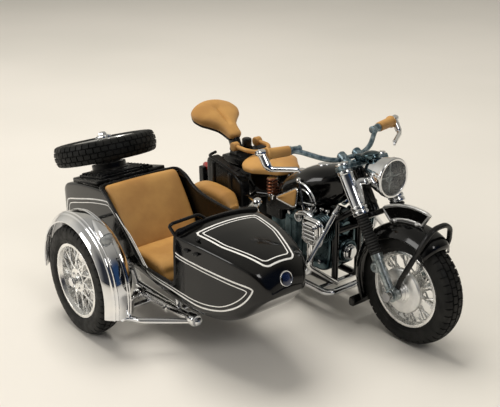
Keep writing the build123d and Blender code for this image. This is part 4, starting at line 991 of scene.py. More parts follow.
# saddles
def saddlePart(rows, crease, skirt, count=64, sides=120):
    # plan width and height follow a table along x; each section is a flattened ellipse with a rolled skirt,
    # and a shallow crease runs down the middle where the crease curve is not zero
    rows = np.array(rows)
    turn = np.linspace(0, np.pi, count)
    x = rows[0, 0] + (rows[-1, 0] - rows[0, 0]) * (1 - np.cos(turn)) / 2
    half, low, crest = easeTable(rows, x).T
    angle = np.linspace(0, 2 * np.pi, sides, endpoint=False)
    cos, sin = np.cos(angle), np.sin(angle)
    across = powered(cos, 0.7)
    y = half[:, None] * across
    belt = low + (crest - low) * 0.42
    above = (crest - belt)[:, None] * np.abs(sin) ** 0.75
    up = np.where(sin > 0, above, -(belt - low)[:, None] * np.abs(sin) ** 0.55)
    dent = np.interp(x, [row[0] for row in crease], [row[1] for row in crease])
    z = belt[:, None] + up - dent[:, None] * np.exp(-((y / 1.5) ** 2)) * (sin > 0)
    z = z - skirt * np.abs(across) ** 3 * (half / half.max())[:, None]
    points = np.stack([np.repeat(x[:, None], sides, axis=1), y, z], axis=-1)
    return gridPart(points, closeCols=True)


# x, half width, low z, crest z
riderRows = [
    (-137.4, 0.3, 75.4, 76.6), (-136.6, 6.5, 74.6, 77.8), (-134.5, 12.6, 73.9, 78.6),
    (-131, 16.8, 73.4, 79.4), (-125, 19.4, 73.0, 79.8), (-119, 19.0, 72.9, 80.0), (-113, 15.0, 72.9, 79.7),
    (-108, 11.2, 72.8, 79.0), (-104, 8.6, 73.0, 78.2), (-102.2, 6.4, 73.4, 77.6), (-101.2, 3.6, 74.2, 76.8),
    (-100.9, 0.3, 74.9, 76.0),
]
riderCrease = [(-134, 0), (-129, 1.7), (-119, 1.9), (-110, 0)]
makePiece("riderSaddlePad", [saddlePart(riderRows, riderCrease, 1.4)], "tan", "root", ["rider_saddle"],
          60)

pillionRows = [
    (-19.4, 0.3, -0.6, 0.8), (-18.7, 6.8, -2.0, 2.2), (-16.8, 12.6, -2.9, 3.0), (-13.0, 17.2, -3.3, 3.8),
    (-8.0, 18.7, -3.4, 4.2), (-2.5, 16.6, -3.4, 4.4), (2.5, 11.4, -3.3, 4.1), (7.5, 7.0, -3.2, 3.7),
    (12.0, 5.6, -3.0, 3.4), (16.0, 5.0, -2.6, 2.8), (18.0, 3.2, -1.8, 1.8), (18.5, 0.3, -0.8, 0.8),
]
pillionCrease = [(-12, 0), (-8, 1.9), (0, 2.2), (5, 1.4), (9, 0)]
pillionTurn = Matrix.Translation((-173.6, 0, 93.4)) @ Matrix.Rotation(math.radians(28), 4, "Y")
makePiece("pillionSaddlePad", [moved(saddlePart(pillionRows, pillionCrease, 1.3), pillionTurn)], "tan",
          "root", ["pillion_saddle"], 60)
# dark pan under the pillion saddle on its post, the drum on the post, and the blocks at its foot
panRows = [(x * 0.97, half * 0.95, low - 1.5, low + 0.6) for x, half, low, crest in pillionRows]
pan = [moved(saddlePart(panRows, [(-10, 0), (10, 0)], 0.4), pillionTurn)]
post = curveThrough([(-150.0, 0, 72.0), (-157.5, 0, 77.0), (-162.5, 0, 86.0)], 20)
pan.append(carriedPart(post, ring(20, 4.2, 3.0, 0.6)))
drum = [(-4.0, 0), (-4.0, 2.6), (-2.4, 3.2), (2.2, 3.2), (2.8, 2.4), (2.8, 0)]
pan.append(turnedPart(drum, (-147.0, 0, 83.8), alongZ, 28, soft=0.4))
pan.append(slabPart(roundedOutline([(-163, 69.4), (-163, 73.4), (-143, 74.4), (-143, 69.4)], 1.2, 5), -9.2,
                    9.2, 1.0))
pan.append(slabPart(roundedOutline([(-160, 73), (-158, 77), (-150, 78.4), (-146, 73)], 1.6, 5), -6.0, 6.0,
                    1.2))
for x in (-156.0, -150.0):
    pan.append(pegPart(-6.6, 6.6, 1.5, 0.4, (x, 0, 78.0), alongY, 20))
makePiece("pillionFrame", pan, "satinBlack", "root", ["pillion_base"])

# springs under the rider's saddle, with the bracket that carries them
springForm = dict(turns=5, coil=2.9, wire=0.75, low=61.6, high=72.2, x=-106.2, y=12.4)
springs = []
for y in (-springForm["y"], springForm["y"]):
    share = np.linspace(0, 1, springForm["turns"] * 20)
    turn = 2 * np.pi * springForm["turns"] * share
    helix = np.stack([
        springForm["x"] + springForm["coil"] * np.cos(turn),
        y + springForm["coil"] * np.sin(turn),
        springForm["low"] + (springForm["high"] - springForm["low"]) * share,
    ], axis=-1)
    springs.append(carriedPart(helix, ring(8), springForm["wire"], side=alongZ))
makePiece("saddleCoils", springs, "copper", "root")
bracket = [rodPart((-108.6, -13.0, 57.8), (-108.6, 13.0, 57.8), 1.5, 14)]
bracket.append(rodPart((-112.0, 0, 58.4), (-104.0, 0, 58.4), 1.6, 14))
bracket.append(rodPart((-104.0, 0, 58.0), (-104.0, 0, 73.2), 1.7, 14))
for y in (-springForm["y"], springForm["y"]):
    for z in (61.4, 71.9):
        bracket.append(pegPart(-0.5, 0.5, 3.2, 0.2, (springForm["x"], y, z), alongZ, 20))
    bracket.append(rodPart((springForm["x"], y, 58.0), (springForm["x"], y, 72.2), 0.8, 10))
makePiece("saddleBracket", bracket, "chrome", "root", ["saddle_springs"])

# grab handle between the saddles, a round boss at each end
handleHalf = [(-146.5, -9.4, 82.6), (-135.5, -9.4, 82.4), (-131.0, -5.0, 81.4)]
handle = [tubePart(curveThrough(bentPath(bothWays(handleHalf), 3.4), 70), 1.4, 16)]
for y in (-9.4, 9.4):
    handle.append(pegPart(-2.4, 2.4, 3.0, 0.8, (-147.6, y, 82.4), alongY, 28))
makePiece("grabHandle", handle, "tan", "root", ["grab_handle"])

# dark block that closes the frame under the rider's saddle: painted shade, a black mass put where that space
# lies in shadow
shadeBlockCorners = [(-112.5, 46.0), (-112.5, 60.6), (-98.0, 61.6), (-84.0, 61.6), (-84.0, 57.5), (-97.5, 53.0),
              (-97.5, 46.0)]
# its satin black stands for the shade under the saddle, not for a part's own colour
makePiece("underSeatShadeBlock", [slabPart(roundedOutline(shadeBlockCorners, 1.8, 5), -12.6, 12.6, 1.4)], "satinBlack",
          "root")

# black side cases behind the saddle, each with a rounded lid and two straps
caseCorners = [(-161, 48.4), (-162, 73.6), (-158, 76.4), (-143, 72), (-131, 70), (-124.8, 65.6),
               (-124.8, 48.4)]
cases = [slabPart(roundedOutline(caseCorners, 2.6, 6), -22.8, -15.0, 1.5)]
for x, top, bend in ((-154.0, 74.8, 73.0), (-136.0, 71.4, 69.6)):
    strap = [(x, -15.2, top), (x, -23.2, bend), (x, -23.3, 60), (x, -23.0, 48.8)]
    cases.append(carriedPart(bentPath(strap, 1.5), ring(12, 0.45, 1.6, 0.5)))
caseRail = [(-160, -16, 77.2), (-160, -22, 76.0), (-127, -22, 69.8), (-125, -16, 69.6)]
cases.append(tubePart(bentPath(caseRail, 2.5), 1.0, 12))
makePiece("sideCases", bothSides(cases), "satinBlack", "root", ["panniers"])
# x, half width, low z, shoulder z, crest z
bagRows = [
    (-162.5, 3.6, 49, 54.0, 57.0), (-160, 5.4, 46, 55.6, 59.4), (-154, 6.7, 44.2, 56.6, 61.2),
    (-146, 7.0, 43.6, 56.8, 61.8), (-138, 7.0, 43.3, 56.4, 61.6), (-130, 6.8, 43.3, 55.4, 60.6),
    (-126, 5.6, 44.0, 53.4, 57.8), (-122.5, 4.0, 46.0, 50.6, 53.6),
]
bag = bodyPart(bagRows, -30.4, 56, 0.8, 0.7)
makePiece("sideBagShell", [bag], "tan", "root", ["side_bag"], 60)
print("saddles made")

# sidecar body
hullForm = dict(wall=1.5, floorBevel=0.16, shoulderTurn=2.0, floorTurn=4.0)
middle = -82.0  # the sidecar's middle plane
# x, half width, low z, shoulder z, crest z
hullRows = np.array([
    (-205.0, 22.6, 38.0, 57.6, 59.4), (-203.5, 24.6, 37.0, 61.4, 63.0), (-197.0, 26.2, 34.0, 66.4, 67.6),
    (-157.0, 28.0, 32.0, 74.8, 76.0), (-146.0, 28.2, 31.8, 75.6, 76.8), (-117.0, 28.4, 31.0, 72.5, 75.4),
    (-70.0, 28.6, 26.0, 71.8, 75.4), (-54.0, 26.8, 26.5, 71.2, 74.6), (-42.0, 24.6, 28.5, 70.0, 73.2),
    (-30.0, 21.7, 33.8, 68.0, 71.2), (-24.0, 19.7, 38.6, 66.4, 69.8), (-19.0, 17.7, 43.8, 64.4, 68.2),
    (-16.6, 16.3, 46.2, 62.4, 66.4), (-14.4, 14.7, 48.2, 59.6, 63.4), (-12.6, 12.8, 49.8, 56.4, 59.4),
    (-11.6, 10.6, 50.6, 53.6, 55.4),
])


def hullStations(count):
    # the table eased along its length, measured over the crest so that the steep nose gets its share
    length = np.concatenate([[0], np.cumsum(np.hypot(np.diff(hullRows[:, 0]), np.diff(hullRows[:, 4])))])
    table = np.column_stack([length, hullRows])
    return easeTable(table, np.linspace(0, length[-1], count))


hullFine = hullStations(900)


def hullTop(x, y):
    # height of the arched top at x and at y from the sidecar's middle plane
    half = np.interp(x, hullFine[:, 0], hullFine[:, 1])
    shoulder = np.interp(x, hullFine[:, 0], hullFine[:, 3])
    crest = np.interp(x, hullFine[:, 0], hullFine[:, 4])
    return crest - (crest - shoulder) * (y / half) ** 2


def hullHalf(x):
    # half the hull's width at x
    return np.interp(x, hullFine[:, 0], hullFine[:, 1])


def hullSections(stations, inset=0.0):
    # half of each section from the floor's middle to the crest: straight runs with quadratic turns, an arched
    # top; the other half is its mirror image
    half, low, shoulder, crest = (stations[:, i] for i in (1, 2, 3, 4))
    half, low, shoulder, crest = half - inset, low + inset, shoulder - inset, crest - inset
    bevel = hullForm["floorBevel"] * (shoulder - low)
    turnTop = np.minimum(hullForm["shoulderTurn"], 0.3 * (shoulder - low))
    turnLow = np.minimum(hullForm["floorTurn"], 0.45 * bevel)

    def top(y):
        return crest - (crest - shoulder) * (y / half) ** 2

    corners = [
        (0 * half, low), (half - bevel, low), (half, low + bevel), (half, shoulder), (0 * half, crest),
    ]
    t = np.linspace(0, 1, 6)[:, None]
    inner = np.linspace(0, 1, 8, endpoint=False)[:, None] * (half - bevel - turnLow)
    lines = [(inner, np.repeat(low[None], 8, axis=0))]
    for at, turn in ((1, turnLow), (2, turnLow)):
        y0, z0 = corners[at - 1]
        y1, z1 = corners[at]
        y2, z2 = corners[at + 1]
        reach0 = np.minimum(turn / np.hypot(y1 - y0, z1 - z0), 0.5)
        reach2 = np.minimum(turn / np.hypot(y2 - y1, z2 - z1), 0.5)
        ya, za = y1 + (y0 - y1) * reach0, z1 + (z0 - z1) * reach0
        yb, zb = y1 + (y2 - y1) * reach2, z1 + (z2 - z1) * reach2
        lines.append((turnCurve(t, ya, y1, yb), turnCurve(t, za, z1, zb)))
    side = np.linspace(0, 1, 16)[1:-1, None]
    sideLow, sideHigh = lines[-1][1][-1], shoulder - turnTop
    lines.append((np.repeat(half[None], 14, axis=0), sideLow + (sideHigh - sideLow) * side))
    yEnd = half - turnTop
    zEnd = top(yEnd)
    lines.append((turnCurve(t, half, half, yEnd), turnCurve(t, sideHigh, shoulder + 0.05, zEnd)))
    over = np.linspace(1, 0, 22)[1:, None]
    lines.append((over * yEnd, top(over * yEnd)))
    y = np.vstack([line[0] for line in lines]).T
    z = np.vstack([line[1] for line in lines]).T
    y = np.hstack([y, -y[:, -2:0:-1]])
    z = np.hstack([z, z[:, -2:0:-1]])
    x = np.repeat(stations[:, :1], y.shape[1], axis=1)
    return np.stack([x, y + middle, z], axis=-1)


def hullShell(inset):
    # the sections closed at the nose and the tail
    stations = hullStations(190)
    if inset:
        low, high = stations[0, 0] + inset, stations[-1, 0] - 2 * inset
        stations = stations[(stations[:, 0] > low) & (stations[:, 0] < high)]
    return bluntPart(hullSections(stations, inset), 0.7, 6)


# the cockpit's mouth seen from the side: a low sill for stepping in on the outer side, a high wall on the
# inner one; and the hatch under the lid
nearMouth = [
    (-151.0, 92.0), (-150.8, 78.0), (-149.0, 76.6), (-140.0, 71.0), (-129.0, 62.0), (-119.0, 54.0),
    (-113.0, 47.4), (-106.0, 42.6), (-98.0, 41.4), (-76.0, 41.5), (-72.6, 43.0), (-71.8, 46.5), (-70.4, 76.0),
    (-70.4, 92.0),
]
farMouth = [
    (-151.0, 92.0), (-150.8, 78.0), (-147.0, 76.6), (-140.3, 74.6), (-133.5, 70.4), (-122.0, 66.4),
    (-108.3, 64.8), (-94.0, 64.3), (-78.0, 64.4), (-73.4, 65.8), (-71.2, 69.4), (-70.4, 76.0), (-70.4, 92.0),
]
solid = linked("hullSolid", joinedMesh("hullSolid", [hullShell(0.0)]))
cuts = [("hullRoom", hullShell(hullForm["wall"]))]
hatchOutline = np.array([(-194.0, 50.0), (-194.0, 90.0), (-160.0, 90.0), (-160.0, 50.0)])
for name, outline, low, high in (
    ("nearMouthCut", nearMouth, middle - 40, middle + 25.6),
    ("farMouthCut", farMouth, middle + 25.0, middle + 40),
    ("hatchCut", hatchOutline, middle - 20, middle + 20),
):
    cuts.append((name, slabPart(np.array(outline), low, high, 0.01)))
cutters = [linked(name, joinedMesh(name, [part])) for name, part in cuts]
for cutter in cutters:
    cut = solid.modifiers.new(cutter.name, "BOOLEAN")
    cut.operation = "DIFFERENCE"
    cut.solver = "EXACT"
    cut.object = cutter
bpy.context.view_layer.update()
graph = bpy.context.evaluated_depsgraph_get()
hullMesh = bpy.data.meshes.new_from_object(solid.evaluated_get(graph))
for scratch in [solid] + cutters:
    bpy.data.objects.remove(scratch)
hullMesh.name = "sidecarBody"
hullMesh.materials.clear()
makePiece("sidecarBody", hullMesh, "glossBlack", "root",
          ["sidecar_tub", "sidecar_cowl", "sidecar_tail"], 32)
print("sidecar body cut:", len(hullMesh.polygons), "faces")

# rounded black edging all round the mouth
def mouthSide(line, sign, inset):
    # a line of (x, z) laid on a side wall, a little inside its face
    line = np.array(line)
    return np.column_stack([line[:, 0], middle + sign * (hullHalf(line[:, 0]) - inset), line[:, 1]])


def mouthTurn(rows, sign):
    # rows of x, distance from the middle plane, z
    return np.array([(x, middle + sign * half, z) for x, half, z in rows])


nearRim = mouthSide([(-71.0, 66.0), (-71.5, 56.0), (-72.0, 46.6), (-73.6, 42.8), (-77.0, 41.3), (-98.0, 41.2),
                     (-106.0, 42.4), (-113.0, 47.2), (-119.0, 53.8), (-129.0, 61.8), (-140.0, 70.8),
                     (-146.4, 75.0)], -1, 0.6)
farRim = mouthSide([(-146.0, 76.4), (-140.3, 74.8), (-136.8, 72.8), (-133.5, 70.6), (-128.0, 68.2),
                    (-122.0, 66.6), (-108.3, 65.0), (-94.0, 64.5), (-79.0, 64.6), (-74.4, 65.6),
                    (-71.8, 68.6)], 1, 0.9)
backTurn = [(-149.6, 27.2, 76.6), (-151.0, 23.6, 77.0), (-151.2, 12.0, 77.1)]
frontTurn = [(-70.5, 27.0, 73.0), (-70.4, 21.0, 74.2), (-70.4, 9.0, 75.4)]
mouthLoop = np.vstack([nearRim, mouthTurn(backTurn, -1), mouthTurn(backTurn[::-1], 1), farRim,
                       mouthTurn(frontTurn, 1), mouthTurn(frontTurn[::-1], -1)])
edging = [carriedPart(curveThrough(mouthLoop, 460, True), ring(12), 1.15, True, side=(0.3, 0.2, 1.0))]
cowlArch = np.linspace(-26.2, 26.2, 40)
archLine = np.column_stack([np.full(40, -69.6), middle + cowlArch,
                            hullTop(np.full(40, -69.6), cowlArch) + 0.1])
edging.append(carriedPart(archLine, ring(20, 1.4, 0.85, 0.7), side=alongX))
makePiece("mouthEdging", edging, "satinBlack", "root")


# pinstripes: thin white strips laid a hair above the surface
def stripPart(centreLine, away, width, lift=0.07, height=0.05):
    # a ribbon along a line: two edges half a width to each side, in the surface, raised along its normal
    along = unit(np.gradient(centreLine, axis=0))
    across = unit(np.cross(along, away)) * width / 2
    top = centreLine + away * (lift + height)
    under = centreLine - away * 0.25
    rows = np.stack([under - across, top - across, top + across, under + across])
    return gridPart(rows)


def sideStripe(line, width, sign):
    # a line of (x, z) laid on a side of the hull; sign -1 is the outer side
    line = curveThrough(line, 260)
    y = middle + sign * hullHalf(line[:, 0])
    slope = np.gradient(hullFine[:, 1], hullFine[:, 0])
    lean = np.interp(line[:, 0], hullFine[:, 0], slope)
    away = unit(np.stack([-lean, sign * np.ones(len(line)), 0 * lean], axis=-1))
    return stripPart(np.column_stack([line[:, 0], y, line[:, 1]]), away, width)


def topStripe(line, width):
    # a closed line of (x, y from the middle) laid on the cowl
    line = np.vstack([line, line[:1]])
    x, y = line[:, 0], line[:, 1]
    z = hullTop(x, y)
    step = 0.05
    slopeX = (hullTop(x + step, y) - hullTop(x - step, y)) / (2 * step)
    slopeY = (hullTop(x, y + step) - hullTop(x, y - step)) / (2 * step)
    away = unit(np.stack([-slopeX, -slopeY, np.ones(len(x))], axis=-1))
    return stripPart(np.column_stack([x, y + middle, z]), away, width)


# x and z from the cowl's rear edge forward, round the nose, back along the sill and up over the tail panel
stripeOuter = [
    (-70.6, 62.0), (-64.8, 61.0), (-42.0, 58.8), (-24.0, 57.0), (-19.4, 56.2), (-18.6, 54.6), (-21.6, 49.2),
    (-26.7, 44.1), (-33.8, 39.9), (-40.5, 37.6), (-48.5, 36.2), (-56.0, 36.1), (-66.0, 37.4), (-76.0, 37.9),
    (-88.0, 38.0), (-97.0, 38.9), (-103.5, 42.4), (-110.0, 48.6), (-119.0, 56.0), (-131.6, 64.8),
    (-139.0, 69.0), (-143.6, 70.0), (-160.0, 66.6), (-180.0, 61.0), (-193.6, 57.0), (-197.2, 54.6),
    (-198.6, 49.0), (-199.2, 44.0),
]
stripeInner = [
    (-70.6, 60.0), (-64.3, 59.1), (-42.0, 56.8), (-26.0, 55.0), (-22.4, 54.4), (-21.8, 53.2), (-24.9, 49.2),
    (-30.0, 44.9), (-36.6, 41.2), (-43.3, 39.4), (-50.5, 38.5), (-58.0, 38.5), (-66.0, 39.3), (-76.0, 39.6),
    (-88.0, 39.6), (-96.4, 40.2), (-102.2, 43.6), (-109.0, 50.0), (-118.6, 57.6), (-131.0, 62.6),
    (-138.0, 66.8), (-143.0, 67.8), (-160.0, 64.2), (-178.0, 59.0), (-191.0, 55.0), (-194.4, 52.6),
    (-195.6, 48.0), (-196.2, 44.0),
]
shieldOuter = roundedOutline([(-62.2, -20.6), (-42.0, -18.2), (-17.4, -9.4), (-17.4, 9.4), (-42.0, 18.2),
                              (-62.2, 20.6)], 3.2, 9)
shieldInner = roundedOutline([(-59.8, -18.0), (-42.0, -16.0), (-20.0, -7.9), (-20.0, 7.9), (-42.0, 16.0),
                              (-59.8, 18.0)], 2.4, 9)
stripes = []
for sign in (-1, 1):
    stripes += [sideStripe(stripeOuter, 0.85, sign), sideStripe(stripeInner, 0.52, sign)]
for outline, width in ((shieldOuter, 1.0), (shieldInner, 0.6)):
    stripes.append(topStripe(curveThrough(outline, 320, True), width))
makePiece("pinstripes", stripes, "whiteLine", "root", sharp=60)
print("pinstripes laid")

# cowl fittings
railRoute = [(-70.6, -109.0, 69.5), (-72.0, -112.6, 77.2), (-72.0, -110.5, 78.2), (-72.0, -93.6, 79.0),
             (-70.8, -87.6, 74.2)]
rail = [tubePart(curveThrough(bentPath(railRoute, 2.2), 60), 0.95, 14)]
stud = [(-1.6, 0), (-1.6, 1.2), (0.4, 1.2), (0.9, 0.7), (1.3, 0)]
for spot, away in (
    ((-56.2, -105.4, 72.6), (0, -0.1, 1)), ((-60.6, -109.8, 66.2), (0.12, -1, 0.1)),
    ((-53.0, -108.8, 66.4), (0.12, -1, 0.1)),
):
    rail.append(turnedPart(stud, spot, away, 20, soft=0.3))
    rail.append(ballPart(np.array(spot) + np.array(away) * 0.8, (2.3, 0.8, 0.7), 0.8, 16))
makePiece("cowlRailAndStuds", rail, "satinBlack", "root", ["cowl_rail"])
# plain disc in a bright ring on the nose
badgeForm = dict(at=(-12.9, middle, 58.9), axis=(0.95, 0, 0.3))
badgeProfile = [(-2.6, 0), (-2.6, 3.7), (0.1, 3.7), (0.3, 3.5), (0.45, 1.8), (0.5, 0)]
ringProfile = [(-2.6, 3.5), (-2.6, 4.2), (0.2, 4.2), (0.6, 3.95), (0.5, 3.6), (0.2, 3.5), (-2.6, 3.5)]
makePiece("noseDisc", [turnedPart(badgeProfile, badgeForm["at"], badgeForm["axis"], 48, soft=0.15)],
          "blueEnamel", "root", ["nose_badge"])
makePiece("noseRing", [turnedPart(ringProfile, badgeForm["at"], badgeForm["axis"], 48, soft=0.1)], "chrome",
          "root")

# sidecar seat
backLine = [(-150.2, 36.0), (-150.2, 60.0), (-150.2, 73.0), (-149.6, 76.6), (-147.4, 77.6), (-144.8, 76.4),
            (-141.0, 72.0), (-133.0, 60.4), (-125.0, 46.4), (-124.4, 43.0), (-124.4, 36.0)]
seatBack = slabPart(curveThrough(backLine, 90, True), middle - 25.6, middle + 25.2, 2.6, 0.6, steps=7)
makePiece("seatBackPad", [seatBack], "tan", "root", ["seat_back"], 70)
padLine = [(-123.4, 35.0), (-123.4, 43.0), (-121.5, 45.2), (-114.0, 46.6), (-98.0, 46.8), (-91.5, 45.4),
           (-88.8, 42.0), (-88.4, 35.0)]
seatPad = slabPart(curveThrough(padLine, 80, True), middle - 25.2, middle + 24.6, 2.6, 0.6, steps=7)
makePiece("seatPad", [seatPad], "tan", "root", ["seat_cushion"], 70)

# trunk lid
lidForm = dict(hingeX=-157.0, hingeZ=76.6, hingeY=14.0, slope=math.degrees(math.atan2(8.5, 40.0)), reach=42.0,
               ribs=7)
lidTurn = (
    Matrix.Translation((lidForm["hingeX"], middle, lidForm["hingeZ"]))
    @ Matrix.Rotation(math.radians(-lidForm["slope"]), 4, "Y")
)
lidLength = lidForm["reach"] / math.cos(math.radians(lidForm["slope"])) - 2.0
plate = roundedOutline([(-lidLength + 1.2, -22.6), (-lidLength + 1.2, 22.6), (-1.7, 25.0), (-1.7, -25.0)],
                       2.5, 6)
lid = [slabPart(plate, -1.0, 1.1, 0.5, up=toRight)]
panel = roundedOutline([(-lidLength + 4, -19.0), (-lidLength + 4, 19.0), (-6.2, 19.0), (-6.2, -19.0)], 2.0, 6)
lid.append(slabPart(panel, 1.0, 2.3, 0.45, up=toRight))
for rib in range(lidForm["ribs"]):
    x = -10.0 - rib * (lidLength - 16.5) / (lidForm["ribs"] - 1)
    bar = ring(20, 1.1, 17.6, 0.35)
    lid.append(slabPart(bar + [x, 0], 2.0, 3.2, 0.5, up=toRight))
for side in (-1, 1):
    lid.append(pegPart(-3, 3, 1.3, 0.3, (0, side * lidForm["hingeY"], 0.4), alongY, 20))
    lid.append(slabPart(ring(16, 1.6, 3.0, 0.4) + [-1.6, side * lidForm["hingeY"]], 0.0, 1.0, 0.3,
                        up=toRight))
makePiece("ribbedTrunkLid", [moved(part, lidTurn) for part in lid], "satinBlack", "trunk_lid",
          ["trunk_lid"])
foot = [(-26.0, 0), (-26.0, 13.0), (-13.4, 13.0), (-12.8, 12.4), (-12.4, 11.0), (-9.2, 11.0), (-8.8, 8.4),
        (-5.7, 8.0), (-5.6, 0)]
mountPoints, mountQuads = moved(turnedPart(foot, (0, 0, 0), alongZ, 48, soft=0.4), spareTurn)
# the foot ends on the lid, whatever the spare wheel's tilt
lidTop = lidForm["hingeZ"] + 2.9 + (mountPoints[:, 0]
                                    - lidForm["hingeX"]) * math.tan(math.radians(lidForm["slope"]))
mountPoints[:, 2] = np.maximum(mountPoints[:, 2], lidTop)
makePiece("spareSeat", [(mountPoints, mountQuads)], "satinBlack", "trunk_lid",
          ["spare_mount"])
nut = [(5.5, 0), (5.5, 4.8), (6.4, 5.0), (8.0, 5.0), (8.8, 4.2), (9.0, 3.0), (10.2, 2.6), (10.9, 1.8),
       (11.1, 0)]
nutParts = [turnedPart(nut, (0, 0, 0), alongZ, 6, soft=0.3)]
for wing in ((1.5, 5.6), (5.6, 1.5)):
    nutParts.append(slabPart(ring(20, *wing, 0.8), 7.2, 8.4, 0.4, up=toRight))
makePiece("spareNut", [moved(part, spareTurn) for part in nutParts], "chrome", "trunk_lid")

# sidecar fender and lamp
sideFender = dict(crown=40.2, lip=35.9, half=9.2, power=2.5, start=-8, end=184, wall=0.8, bead=0.55, drop=5.8,
                  ribHeight=0.55, rows=121, columns=49)
sideHub = np.array([sideAxle[0], -133.6, wheelRadius])
sideParts = fenderParts(sideFender, sideHub, (-5.3, -3.4, 3.4, 5.3))
stay = sideHub + wheelPoint(36.6, math.radians(145.0), 0)
sideParts.append(rodPart((stay[0], -125.0, stay[2]), (stay[0], -110.5, stay[2]), 1.1, 12))
makePiece("sidecarMudguard", sideParts, "chrome", "root", ["sidecar_fender"])
# lamp on the fender: a tear that swells along a quarter sine and arches over the crown, a collar and glass
tearForm = dict(turn=math.radians(60.0), reach=40.6, length=15.5, back=10.0, width=4.2, arch=1.4, lift=0.7,
                flat=0.92, collarFrom=5.2, collarTo=6.0, collarWidth=4.45)
lampOut = wheelPoint(1.0, tearForm["turn"], 0)
lampDown = np.array([lampOut[2], 0, -lampOut[0]])
lampBase = sideHub + lampOut * tearForm["reach"]
tearShare = np.linspace(0, 1, 40)[:, None]
tearWidth = tearForm["width"] * np.sin(np.pi / 2 * tearShare[:, 0] ** 0.75)
tearPath = lampBase + lampDown * (tearShare * tearForm["length"] - tearForm["back"])
tearPath = tearPath - lampOut * ((1 - tearShare) ** 2 * tearForm["arch"] - tearForm["lift"])
tearRing = ring(28, 1.0, tearForm["flat"])
tear = [carriedPart(tearPath, tearRing, tearWidth, side=alongY)]
collarPath = lampBase + lampDown * np.array([[tearForm["collarFrom"]],
                                             [tearForm["collarTo"]]]) + lampOut * tearForm["lift"]
tear.append(carriedPart(collarPath, tearRing, tearForm["collarWidth"], side=alongY))
makePiece("fenderLampHousing", tear, "chrome", "root", ["fender_lamp"])
glassProfile = [(5.9, 0), (5.9, 3.9), (7.2, 3.7), (8.8, 2.7), (9.5, 0)]
lampGlass = turnedPart(glassProfile, lampBase + lampOut * tearForm["lift"], lampDown, 32, soft=0.6)
makePiece("fenderLampGlass", [lampGlass], "frostGlass", "root")
# bright sleeve over the outer rail with its round end knob, and the tie from the mudguard's foot to the rail
railRun = np.array([(-115.0, -106.4, 19.6), (-68.6, -102.4, 19.9)])
railWay = railRun[1] - railRun[0]
fittings = [tubePart(railRun, 2.7, 24)]
knob = [(-3.0, 0), (-3.0, 3.0), (-2.4, 3.7), (3.2, 3.7), (3.9, 3.2), (4.0, 1.9), (3.6, 1.7), (3.6, 0)]
fittings.append(turnedPart(knob, railRun[1], railWay, 36, soft=0.4))
fittings.append(rodPart((-105.4, -128.6, 22.4), (-113.0, -106.2, 21.6), 2.5, 20))
tieWay = (-7.6, 22.4, -0.8)
for spot, way in (((-106.4, -125.6, 22.2), tieWay), ((-111.6, -110.4, 21.8), tieWay),
                  ((-90.0, -104.2, 19.2), railWay)):
    fittings.append(pegPart(-1.6, 1.6, 3.4, 0.5, spot, way, 28))
makePiece("chassisFittings", fittings, "chrome", "root")
axleCap = [(-6.9, 0), (-6.9, 3.0), (-7.4, 3.3), (-8.4, 3.3), (-8.9, 2.9), (-9.1, 1.6), (-9.3, 0)]
makePiece("sidecarAxleCap", [turnedPart(axleCap, sideAxle, alongY, 6, soft=0.25)], "chrome", "root",
          ["sidecar_axle_nut"])
print("sidecar dressed")

# finishes of the pieces that keep their modelled shape
keptFinishes = {
    "glossBlack": ["bike_frame"],
    "chrome": ["exhaust_pipes", "skid_rails", "sidecar_chassis", "upper_strut", "front_axle", "rear_axle"],
    "castGrey": ["fork_lower_legs"],
}
for finish, names in keptFinishes.items():
    for name in names:
        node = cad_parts[name]
        for place in node.material_slots:
            place.material = paints[finish]

# stage
def stageMaterial():
    # off-white that drifts between two tones, with fine bumps
    material, shader = newMaterial("paleFloor")
    drift = shader.ease(shader.noise(3.0, 4.0), 0.3, 0.7)
    bump = shader.node("Bump", None, {"Height": shader.noise(400, 3.0), "Strength": 0.03, "Distance": 0.0004})
    surface = shader.node("BsdfPrincipled", None, {
        "Base Color": shader.blend(drift, (0.74, 0.71, 0.655), (0.78, 0.745, 0.69)),
        "Roughness": drift * 0.08 + 0.42,
        "Normal": bump,
    })
    shader.node("OutputMaterial", None, {"Surface": surface})
    return material


floorMesh = bpy.data.meshes.new("floor")
floorSize = 6.0
floorCorners = [(-floorSize, -floorSize, 0), (floorSize, -floorSize, 0), (floorSize, floorSize, 0),
                (-floorSize, floorSize, 0)]
floorMesh.from_pydata(floorCorners, [], [(0, 1, 2, 3)])
floorMesh.materials.append(stageMaterial())
floor = linked("floor", floorMesh)

# room for the chrome to show: a pale wall behind the object, a brighter one on its left, a grey ceiling,
# a dark side behind the viewer and a small blue patch on the right
world = bpy.data.worlds.new("softRoom")
world.use_nodes = True
bpy.context.scene.world = world
sky = Shader(world.node_tree)
towards = sky.node("TexCoord", output="Generated")
height = sky.node("SeparateXYZ", None, {"Vector": towards}, output="Z")
behindSide = sky.node("VectorMath", {"operation": "DOT_PRODUCT"}, {0: towards, 1: (-0.80, 0.60, 0.0)},
                      output="Value")
leftSide = sky.node("VectorMath", {"operation": "DOT_PRODUCT"}, {0: towards, 1: (-0.60, -0.80, 0.0)},
                    output="Value")
rightSide = sky.node("VectorMath", {"operation": "DOT_PRODUCT"}, {0: towards, 1: (0.93, 0.22, 0.29)},
                     output="Value")
wall = sky.blend(sky.ease(behindSide, -0.4, 0.5), (0.028, 0.03, 0.038), (0.42, 0.40, 0.35))
wall = sky.blend(sky.ease(leftSide, 0.35, 0.95) * 0.7, wall, (0.88, 0.845, 0.775))
wall = sky.blend(sky.ease(rightSide, 0.84, 0.99), wall, (0.018, 0.045, 0.11))
room = sky.blend(sky.ease(height, 0.45, 0.9), wall, (0.40, 0.385, 0.35))
background = sky.node("Background", None, {"Color": room, "Strength": 1.0})
sky.node("OutputWorld", None, {"Surface": background})

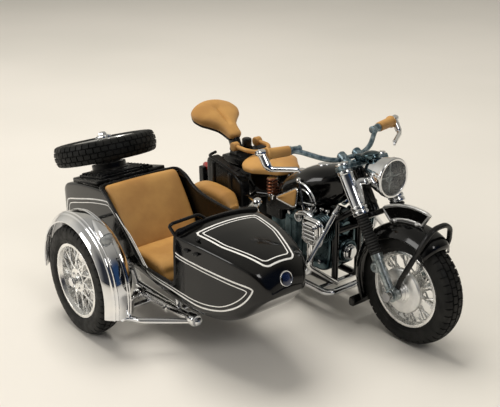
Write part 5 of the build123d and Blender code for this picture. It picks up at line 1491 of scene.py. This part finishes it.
lights = {
    "windowLight": dict(at=(-0.42, 0.02, 1.25), size=(0.75, 0.75), power=14.3, tone=(1.0, 0.965, 0.90),
                        mirrored=False),
    "leftPanel": dict(at=(-0.35, -1.05, 0.62), size=(0.5, 0.45), power=3.6, tone=(1.0, 0.985, 0.96),
                      mirrored=True),
    "frontPanel": dict(at=(1.05, -0.10, 0.95), size=(0.3, 0.3), power=2.2, tone=(1.0, 0.98, 0.95),
                       mirrored=True),
}
for name, light in lights.items():
    lamp = bpy.data.lights.new(name, "AREA")
    lamp.shape = "RECTANGLE"
    lamp.size, lamp.size_y = light["size"]
    lamp.energy = light["power"]
    lamp.color = light["tone"]
    holder = linked(name, lamp)
    holder.location = light["at"]
    # the chrome mirrors the room and not the big lamp overhead
    holder.visible_glossy = light["mirrored"]
    holder.rotation_euler = (Vector((0, 0, 0.04)) - Vector(light["at"])).to_track_quat("-Z", "Y").to_euler()
bpy.context.scene.view_settings.view_transform = "Standard"

# camera: millimetres and degrees
cameraForm = dict(at=(291.557, -347.237, 255.219), azimuth=51.466, elevation=21.047, roll=-0.736,
                  focalPixels=880, imageWidth=500)
azimuth, elevation, roll = (math.radians(cameraForm[key]) for key in ("azimuth", "elevation", "roll"))
back = Vector((
    math.sin(azimuth) * math.cos(elevation), -math.cos(azimuth) * math.cos(elevation), math.sin(elevation),
))
level = (-back).cross(Vector((0, 0, 1))).normalized()
upward = level.cross(-back)
right = math.cos(roll) * level + math.sin(roll) * upward
upward = -math.sin(roll) * level + math.cos(roll) * upward
cameraData = bpy.data.cameras.new("camera")
cameraData.sensor_width = 36.0
cameraData.lens = cameraForm["focalPixels"] * cameraData.sensor_width / cameraForm["imageWidth"]
cameraData.clip_start = 0.01
cameraData.clip_end = 30.0
camera = linked("camera", cameraData)
cameraTurn = Matrix((right, upward, back)).transposed().to_4x4()
camera.matrix_world = Matrix.Translation(toFrame(np.array(cameraForm["at"]))) @ cameraTurn
bpy.context.scene.camera = camera
print("stage set")
